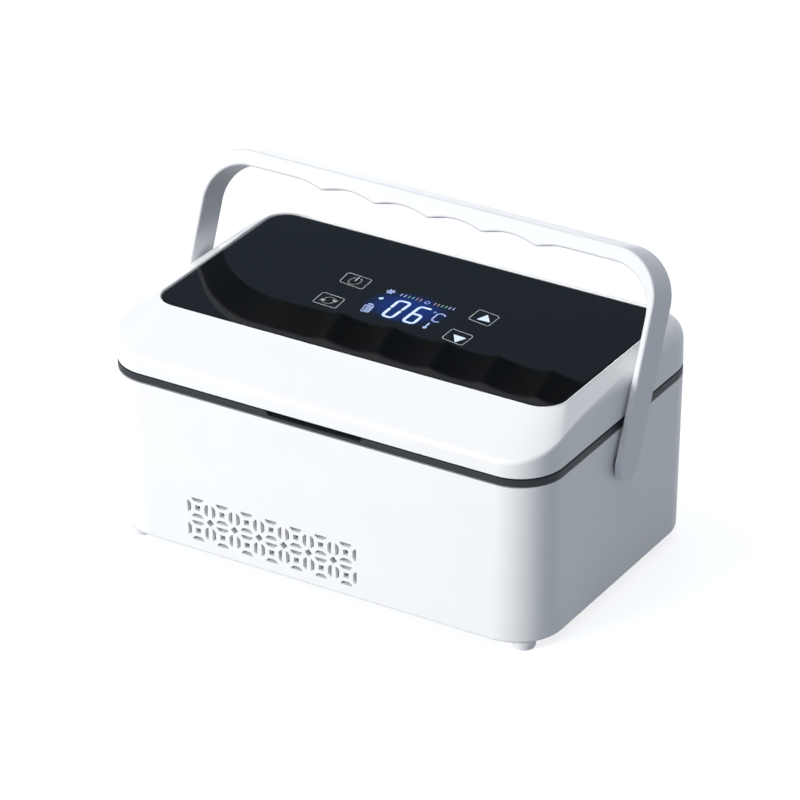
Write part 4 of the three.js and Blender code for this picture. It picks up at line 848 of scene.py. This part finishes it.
def inner_cover():
    bm = bmesh.new()
    plug = [(89.9, 43.9, 8.0, 87.9), (91.4, 45.4, 9.2, 88.15), (92.3, 46.3, 9.9, 88.9),
            (92.45, 46.45, 10.0, 89.9), (92.95, 46.95, 10.5, 97.3), (93.3, 47.3, 10.8, 97.85),
            (93.9, 47.9, 11.4, 98.1)]
    cover = [(121.6, 75.6, 19.9, 98.1), (122.0, 76.0, 20.3, 98.25), (122.1, 76.1, 20.4, 98.6),
             (122.1, 76.1, 20.4, 100.1)]
    hollow = [(91.05, 45.05, 8.6, 100.1), (90.6, 44.6, 8.1, 89.9)]
    return walls_between(bm, [rounded_face(bm, *row) for row in plug + cover + hollow])


hinge_rooms = side_bricks(HINGE_X, 17.9, (71.9, 96), (79, 102))
screw_holes = corner_rods(LID_SCREW_X, LID_SCREW_Y, 96, 102, SCREW_HOLE)
cover = carve(inner_cover(), hinge_rooms + screw_holes)
place_piece("lid_inner_cover", cover, "lid", "grey_abs", ["lid_panel"])

# %% Gasket with a round lower edge
seal = bmesh.new()
walls_between(seal, grown_faces(seal, 97.5, 51.5, 16, [
    (0.0, 97.8), (0.0, 97.0), (0.3, 96.5), (0.9, 96.25), (2.0, 96.2), (3.1, 96.25), (3.7, 96.5),
    (4.0, 97.0), (4.0, 97.8)]), closed=True)
place_piece("lid_seal", seal, "lid", "rubber", ["lid_gasket"], smooth_below=50)

# %% [markdown]
# ## The glass
# A sheet of glass is cut, and its edge is ground to a fine round. A plain block never shows the thin
# line of light along that edge, so the top edge gets real steps.

# %% Glass sheet with a ground edge
sheet = bmesh.new()
steps = [(117.4, -0.3), (117.7, 0.0), (TOP - 0.5, 0.0), (TOP - 0.15, -0.15), (TOP, -0.5), (TOP, -1.0)]
walls_between(sheet, [
    rounded_face(sheet, GLASS_HALF.x + grow, GLASS_HALF.y + grow, GLASS_CORNER + grow, z, GLASS_Y, steps=20)
    for z, grow in steps])
place_piece("glass_top", sheet, "lid", "black_glass", ["glass_panel"])

# %% [markdown]
# ## The handle
# The real handle is one flat band bent over the lid, with five shallow ridges under the grip that keep
# the fingers apart. Drawn flat, it is one outline: four corners are bevelled, the grip's lower edge is
# divided and pulled down at the ridges, and the outline is pushed through to the handle's breadth. A
# swept curve could make the bend, but not the ridges in one clean surface.

# %% Handle outline, breadth and soft edges
REACH, LEG_INNER, LEG_OUTER, BREADTH = 101.8, 126.59, 130.24, 19.5
GRIP_HALF, RIDGE_PITCH, RIDGE_DROP, BLUNT = 76.75, 30.7, 3, 0.1
LEAN = math.radians(23)


def ridge_drop(x):
    """How far the grip's underside hangs down at x: soft ridges with shallow arcs between."""
    if abs(x) >= GRIP_HALF:
        return 0
    away = abs((x / RIDGE_PITCH + 2) % 1 - 0.5) * 2
    if away < 1 - BLUNT:
        return RIDGE_DROP * away ** 2
    return RIDGE_DROP * (1 - BLUNT - (1 - away) ** 2 * (1 - BLUNT) / BLUNT)


def handle_flat(bm):
    """The handle's outline seen from the front, with its grip finely divided."""
    low, under = -BREADTH / 2, REACH - 8.2
    outline = [(LEG_OUTER, low), (LEG_OUTER, REACH), (-LEG_OUTER, REACH), (-LEG_OUTER, low),
               (-LEG_INNER, low), (-LEG_INNER, under), (-GRIP_HALF, under), (GRIP_HALF, under),
               (LEG_INNER, under), (LEG_INNER, low)]
    verts = [bm.verts.new((x, -BREADTH / 2, z)) for x, z in outline]
    bm.faces.new(verts)
    for places, radius in (((1, 2), 24.9), ((5, 8), 22.0)):
        round_off(bm, [verts[place] for place in places], radius, 18)
    grip = [e for e in bm.edges if abs(e.calc_length() - 2 * GRIP_HALF) < 0.01]
    bmesh.ops.subdivide_edges(bm, edges=grip, cuts=99)
    for vert in bm.verts:
        if abs(vert.co.z - under) < 0.01:
            vert.co.z -= ridge_drop(vert.co.x)
    return next(iter(bm.faces))


def sharp_edges(bm, degrees):
    return [e for e in bm.edges if len(e.link_faces) == 2 and e.calc_face_angle() > math.radians(degrees)]


def handle_shape():
    bm = bmesh.new()
    face = handle_flat(bm)
    push(bm, face, (0, BREADTH, 0))
    bm.faces.ensure_lookup_table()
    outwards(bm)
    toes = [e for e in bm.edges if all(abs(v.co.z + BREADTH / 2) < 0.01 for v in e.verts)
            and abs(e.verts[0].co.y - e.verts[1].co.y) < 0.01]
    round_off(bm, toes, BREADTH / 2 - 0.001, 14, "EDGES")
    bmesh.ops.remove_doubles(bm, verts=bm.verts, dist=0.01)
    round_off(bm, sharp_edges(bm, 60), 1.25, 4, "EDGES")
    tidy_skin(bm)
    bmesh.ops.rotate(bm, cent=(0, 0, 0), matrix=Matrix.Rotation(-LEAN, 3, "X"), verts=bm.verts)
    bmesh.ops.translate(bm, vec=(0, 0, PIVOT_Z), verts=bm.verts)
    return bm


handle = carve(handle_shape(), side_rods(119.07, 128.4, 4), "UNION")
handle = carve(handle, side_rods(117, 124.3, SCREW_HOLE))
# The handle wears a greyer copy of the case's white: painted shade against the key light that its lean
# catches
place_piece("carrying_handle", handle, "handle", "white_abs", ["handle_bail"], handle_white_painted_shade)

# %% [markdown]
# ## The feet
# Each foot is a turned shape, so it is spun from a profile: a slightly conical pad with a round lower
# edge, a deep seat for its screw and a thin neck that enters the shell.

# %% Spin the feet


def foot(x, y):
    bm = bmesh.new()
    profile = [(1.7, 2.2), (3.1, 2.2), (3.1, 0.3), (3.4, 0.0), (5.2, 0.0), (5.6, 0.15), (5.83, 0.55),
               (6.45, 3.9), (6.35, 4.2), (6.1, 4.3), (3.6, 4.3), (3.6, 4.9), (1.7, 4.9)]
    verts = [bm.verts.new((r, 0, z)) for r, z in profile]
    edges = [bm.edges.new(pair) for pair in zip(verts, verts[1:] + verts[:1])]
    bmesh.ops.spin(bm, geom=verts + edges, cent=(0, 0, 0), axis=(0, 0, 1), angle=2 * math.pi, steps=40,
                   use_merge=True)
    tidy_skin(bm)
    bmesh.ops.translate(bm, vec=(x, y, 0), verts=bm.verts)
    return bm


for corner_name, x, y in CORNERS:
    pad = foot(x * FOOT_X, y * FOOT_Y)
    place_piece(f"foot_pad_{corner_name}", pad, "base", "white_abs", [f"foot_{corner_name}"])

# %% [markdown]
# ## Marks on the glass
# The keys are thin frames printed under the glass, each with a plain symbol. All marks are flat, so each
# is a strip or a small plate on the glass, far thinner than a sheet of paper. A picture texture would be
# easier, but it would blur up close, and shapes stay crisp.

# %% Helpers for strips and plates
MARK_THICKNESS = 0.03


def plate(bm, points, corner=0.0, steps=3, thickness=MARK_THICKNESS):
    """A thin plate on the glass from (x, y) points, with its corners rounded."""
    push(bm, corner_face(bm, [(x, y, TOP) for x, y in points], corner, steps), (0, 0, thickness))


def strip(bm, start, end, width):
    """A straight stroke with round ends."""
    start, end = Vector(start), Vector(end)
    along = (end - start).normalized() * width / 2
    side = Vector((-along.y, along.x))
    corners = [start - along - side, end + along - side, end + along + side, start - along + side]
    plate(bm, corners, width / 2 - 0.01, steps=5)


def strokes(bm, points, width):
    for start, end in zip(points, points[1:]):
        strip(bm, start, end, width)


def thin_frame(bm, corners, width, corner=1.6):
    """A closed thin frame: a flat face inset by the line's width, with its middle taken out."""
    known = set(bm.faces)
    face = corner_face(bm, [(x, y, TOP) for x, y in corners], corner, 5)
    bmesh.ops.inset_region(bm, faces=[face], thickness=width, use_even_offset=True, use_boundary=True)
    bmesh.ops.delete(bm, geom=[face], context="FACES_ONLY")
    ring = [f for f in bm.faces if f not in known]
    made = bmesh.ops.extrude_face_region(bm, geom=ring)["geom"]
    lifted = [g for g in made if isinstance(g, bmesh.types.BMVert)]
    bmesh.ops.translate(bm, vec=(0, 0, MARK_THICKNESS), verts=lifted)


def arc_points(middle, radii, from_degrees, to_degrees, count):
    """Points along part of an ellipse."""
    angles = [math.radians(from_degrees + (to_degrees - from_degrees) * k / count) for k in range(count + 1)]
    return [(middle[0] + radii[0] * math.cos(a), middle[1] + radii[1] * math.sin(a)) for a in angles]


def place_marks(name, bm, material, slot="display_face"):
    place_piece(name, outwards(bm), "lid", slot, material=material)


# %% [markdown]
# ## Key frames and symbols
# Four touch keys sit in two pairs beside the display: power, a mode key, and two arrows. The power sign
# is the common open ring with a bar, and the mode key shows two arrows that chase each other. Each frame
# is placed by its four corners, because the print on the real glass sits a little askew.

# %% Printed key frames and symbols
KEY_FRAMES = [
    [(-46.3, 27.1), (-31.2, 26.0), (-30.3, 14.3), (-45.1, 16.1)],
    [(-45.7, 2.8), (-31.8, 1.6), (-30.8, -9.9), (-45.0, -8.9)],
    [(30.7, 25.6), (43.7, 23.6), (43.9, 11.7), (30.7, 13.9)],
    [(29.7, 1.4), (43.1, -0.4), (42.8, -12.1), (29.9, -9.9)],
]
bm = bmesh.new()
for corners in KEY_FRAMES:
    thin_frame(bm, corners[::-1], 0.42)
strokes(bm, arc_points((-38.2, 20.4), (3.1, 3.9), 125, 415, 22), 0.8)
strip(bm, (-38.6, 25.0), (-38.3, 20.9), 0.8)
MODE_KEY = Vector((-38.3, -3.7))
for half_turn in (0, 180):
    strokes(bm, arc_points(MODE_KEY, (3.2, 3.4), 25 + half_turn, 150 + half_turn, 10), 0.8)
    swing = Matrix.Rotation(math.radians(half_turn + 14), 2)
    plate(bm, [MODE_KEY + swing @ Vector(p) for p in ((3.2, -1.6), (4.9, 0.8), (1.5, 0.8))], 0.1)
# The key frames and symbols are printed ink with a faint painted glow
place_marks("key_frames_and_symbols", bm, white_ink_painted_glow, "black_glass")

bm = bmesh.new()
plate(bm, [(34.8, 15.7), (42.2, 15.9), (37.3, 22.4)], 0.25)
plate(bm, [(33.3, -3.5), (38.1, -10.5), (41.0, -4.2)], 0.25)
place_marks("key_arrows", bm, lit_white, "black_glass")

# %% [markdown]
# ## The display
# Behind the glass shines a liquid crystal display: a blue back light with soft edges, white digits and
# a few small signs. A digit could be a font's letter, but the real ones are slanted segments with round
# ends. So each is a path of strokes in a unit square, mapped onto four measured corners.

# %% Back light and digits
ROUND_U, ROUND_V = 0.3, 0.13
DIGIT_STROKE = 1.62


def bend(right, v, start):
    """A quarter turn in the unit square, near its left or right side and round a middle at height v."""
    return arc_points((1 - ROUND_U if right else ROUND_U, v), (ROUND_U, ROUND_V), start, start + 90, 4)


HIGH_RIGHT, HIGH_LEFT = bend(True, 1 - ROUND_V, 0), bend(False, 1 - ROUND_V, 90)
LOW_LEFT, LOW_RIGHT = bend(False, ROUND_V, 180), bend(True, ROUND_V, 270)
# The two halves of the zero end just short of each other, as the segments of a display do
ZERO_TOP = [(1, 0.56)] + HIGH_RIGHT + HIGH_LEFT + [(0, 0.56)]
ZERO_FOOT = [(0, 0.44)] + LOW_LEFT + LOW_RIGHT + [(1, 0.44)]
SIX = [(1, 1)] + HIGH_LEFT + LOW_LEFT + LOW_RIGHT + bend(True, 0.53 - ROUND_V, 0) + [(0, 0.53)]


def digit(bm, corners, path):
    """Strokes along a path in the unit square, mapped onto four corners from low left to high left."""
    low_left, low_right, high_right, high_left = (Vector(c) for c in corners)
    strokes(bm, [low_left.lerp(low_right, u).lerp(high_left.lerp(high_right, u), v) for u, v in path],
            DIGIT_STROKE)


bm = bmesh.new()
plate(bm, [(-21.0, -8.5), (24.0, -8.0), (22.5, 24.0), (-25.0, 24.5)], 4.0, steps=6, thickness=0.01)
place_marks("display_glow", bm, back_light)

bm = bmesh.new()
for half in (ZERO_TOP, ZERO_FOOT):
    digit(bm, [(-7.5, -4.0), (-1.95, -4.35), (-1.4, 13.8), (-8.2, 13.7)], half)
digit(bm, [(4.3, -4.1), (10.5, -4.2), (9.9, 13.2), (4.3, 13.2)], SIX)
place_marks("display_digits", bm, lit_white)

# %% Small signs of the display
bm = bmesh.new()
# Unit: a small ring and the letter of the scale
strokes(bm, arc_points((13.6, 11.6), (0.6, 0.6), 0, 360, 8), 0.45)
strokes(bm, [(20.1, 10.3), (19.2, 11.4), (16.9, 11.7), (15.7, 10.6), (15.9, 5.0), (16.8, 3.4), (18.8, 2.9),
             (20.2, 3.6)], 0.85)
# Thermometer: stem and bulb
strip(bm, (17.1, 0.2), (17.3, -3.6), 1.0)
strip(bm, (17.3, -4.5), (17.31, -4.6), 2.2)
place_marks("display_small_signs", bm, lit_blue)

bm = bmesh.new()
# Battery: frame, three bars and a cap
thin_frame(bm, [(-19.2, -5.6), (-14.5, -5.1), (-15.6, 2.4), (-20.5, 1.8)], 0.55, corner=0.7)
for level in (-3.7, -1.7, 0.3):
    strip(bm, (-18.4 - level * 0.16, level), (-16.2 - level * 0.16, level + 0.15), 1.25)
strip(bm, (-19.1, 3.2), (-17.4, 3.4), 1.2)
# Frost star: three crossed strokes
FROST_STAR = Vector((-16.8, 19.6))
for degrees in (0, 60, 120):
    reach = Matrix.Rotation(math.radians(degrees), 2) @ Vector((2.0, 0))
    strip(bm, FROST_STAR - reach, FROST_STAR + reach, 0.95)
# Ring in the middle of the scale
strokes(bm, arc_points((4.9, 18.5), (1.2, 1.35), 0, 360, 14), 0.6)
place_marks("display_blue_signs", bm, lit_blue)

bm = bmesh.new()
strip(bm, (-17.35, 10.9), (-16.95, 11.3), 2.1)
place_marks("display_dot", bm, lit_cyan)

# Scale of short ticks: white at its ends, then green, then orange next to the ring
for kind, material, order in (("white", lit_blue, (4, 5)), ("green", lit_green, (2, 3)),
                              ("orange", lit_orange, (0, 1))):
    bm = bmesh.new()
    for first, pace in ((0.85, -2.25), (9.0, 2.13)):
        for tick in order:
            x = first + pace * tick
            strip(bm, (x, 18.1), (x, 20.3), 0.55)
    place_marks(f"display_ticks_{kind}", bm, material)

# %% [markdown]
# ## Floor, backdrop and light
# The photograph shows the case on plain white, lit softly from the front left, with its right side in
# calm shade. Floor and world read as white to the camera and in reflections, and add only a modest fill
# to the object. High up, the mirrored world turns to the cool grey of a studio's ceiling. A picture of a
# room could do the same, but a few nodes are easier to match.

# %% Floor and world
FLOOR_COLOR, FLOOR_LIFT, FILL = "#a6abb1", 0.8, 0.35
FILL_COLOR = "#dce7f6"
ROOM_ABOVE = "#a2b8cc"
KEY_COLOR = (1.0, 0.985, 0.965)


def seen_directly(tree):
    """One where a ray comes from the camera, a mirror image or clear glass, else zero."""
    path = add_node(tree, "LightPath").outputs
    either = add_node(tree, "Math", {0: path["Is Camera Ray"], 1: path["Is Glossy Ray"]},
                      operation="MAXIMUM")
    any_of_three = add_node(tree, "Math", {
        0: either.outputs["Value"], 1: path["Is Transmission Ray"]}, operation="MAXIMUM")
    return any_of_three.outputs["Value"]


def floor_finish():
    """Plain paper that the camera and mirror images see as white."""
    material, tree = start_finish("paper_sweep_white")
    lift = add_node(tree, "Math", {0: seen_directly(tree), 1: FLOOR_LIFT}, operation="MULTIPLY")
    surface = add_node(tree, "BsdfPrincipled", {
        "Base Color": linear(FLOOR_COLOR), "Roughness": 0.9, "Specular IOR Level": 0.0,
        "Emission Color": (1, 1, 1, 1), "Emission Strength": lift.outputs["Value"]})
    add_node(tree, "OutputMaterial", {"Surface": surface.outputs["BSDF"]})
    return material


bm = bmesh.new()
bmesh.ops.create_grid(bm, x_segments=1, y_segments=1, size=6.0)
floor = mesh_from(bm, "floor")
floor.data.materials.append(floor_finish())

world = bpy.data.worlds.new("studio")
world.use_nodes = True
sky = world.node_tree
sky.nodes.clear()
direct = seen_directly(sky)
strength = add_node(sky, "MapRange", {"Value": direct, "To Min": FILL})
direction = add_node(sky, "SeparateXYZ", {
    "Vector": add_node(sky, "TexCoord").outputs["Generated"]})
height = add_node(sky, "MapRange", {
    "Value": direction.outputs["Z"], "From Min": 0.1, "From Max": 0.42},
    interpolation_type="SMOOTHSTEP")
mirrored_height = add_node(sky, "Math", {
    0: height.outputs["Result"], 1: add_node(sky, "LightPath").outputs["Is Glossy Ray"]},
    operation="MULTIPLY")
mirrored = add_node(sky, "Mix", {
    "Factor": mirrored_height.outputs["Value"], 6: (1, 1, 1, 1), 7: linear(ROOM_ABOVE)}, data_type="RGBA")
tint = add_node(sky, "Mix", {
    "Factor": direct, 6: linear(FILL_COLOR), 7: mirrored.outputs[2]}, data_type="RGBA")
background = add_node(sky, "Background", {
    "Color": tint.outputs[2], "Strength": strength.outputs["Result"]})
add_node(sky, "OutputWorld", {"Surface": background.outputs["Background"]})
bpy.context.scene.world = world
bpy.context.scene.view_settings.view_transform = "Standard"
print("fill light", FILL)

# %% Lamps
CASE_MIDDLE = Vector((0, 0, 0.07))


def softbox(name, place, width, height, watts, color=(1, 1, 1)):
    """A flat lamp that looks at the middle of the case."""
    lamp = bpy.data.lights.new(name, "AREA")
    lamp.shape = "RECTANGLE"
    lamp.size, lamp.size_y = width, height
    lamp.energy = watts
    lamp.color = color
    place = Vector(place)
    turn = (CASE_MIDDLE - place).to_track_quat("-Z", "Y")
    add_object(name, lamp).matrix_world = Matrix.Translation(place) @ turn.to_matrix().to_4x4()


softbox("key_softbox", (-1.3, -2.5, 1.0), 1.2, 1.2, 72, KEY_COLOR)
softbox("top_softbox", (-0.1, 0.0, 2.0), 1.6, 1.6, 11, KEY_COLOR)
softbox("rear_softbox", (-1.5, 2.3, 0.5), 1.2, 0.8, 22)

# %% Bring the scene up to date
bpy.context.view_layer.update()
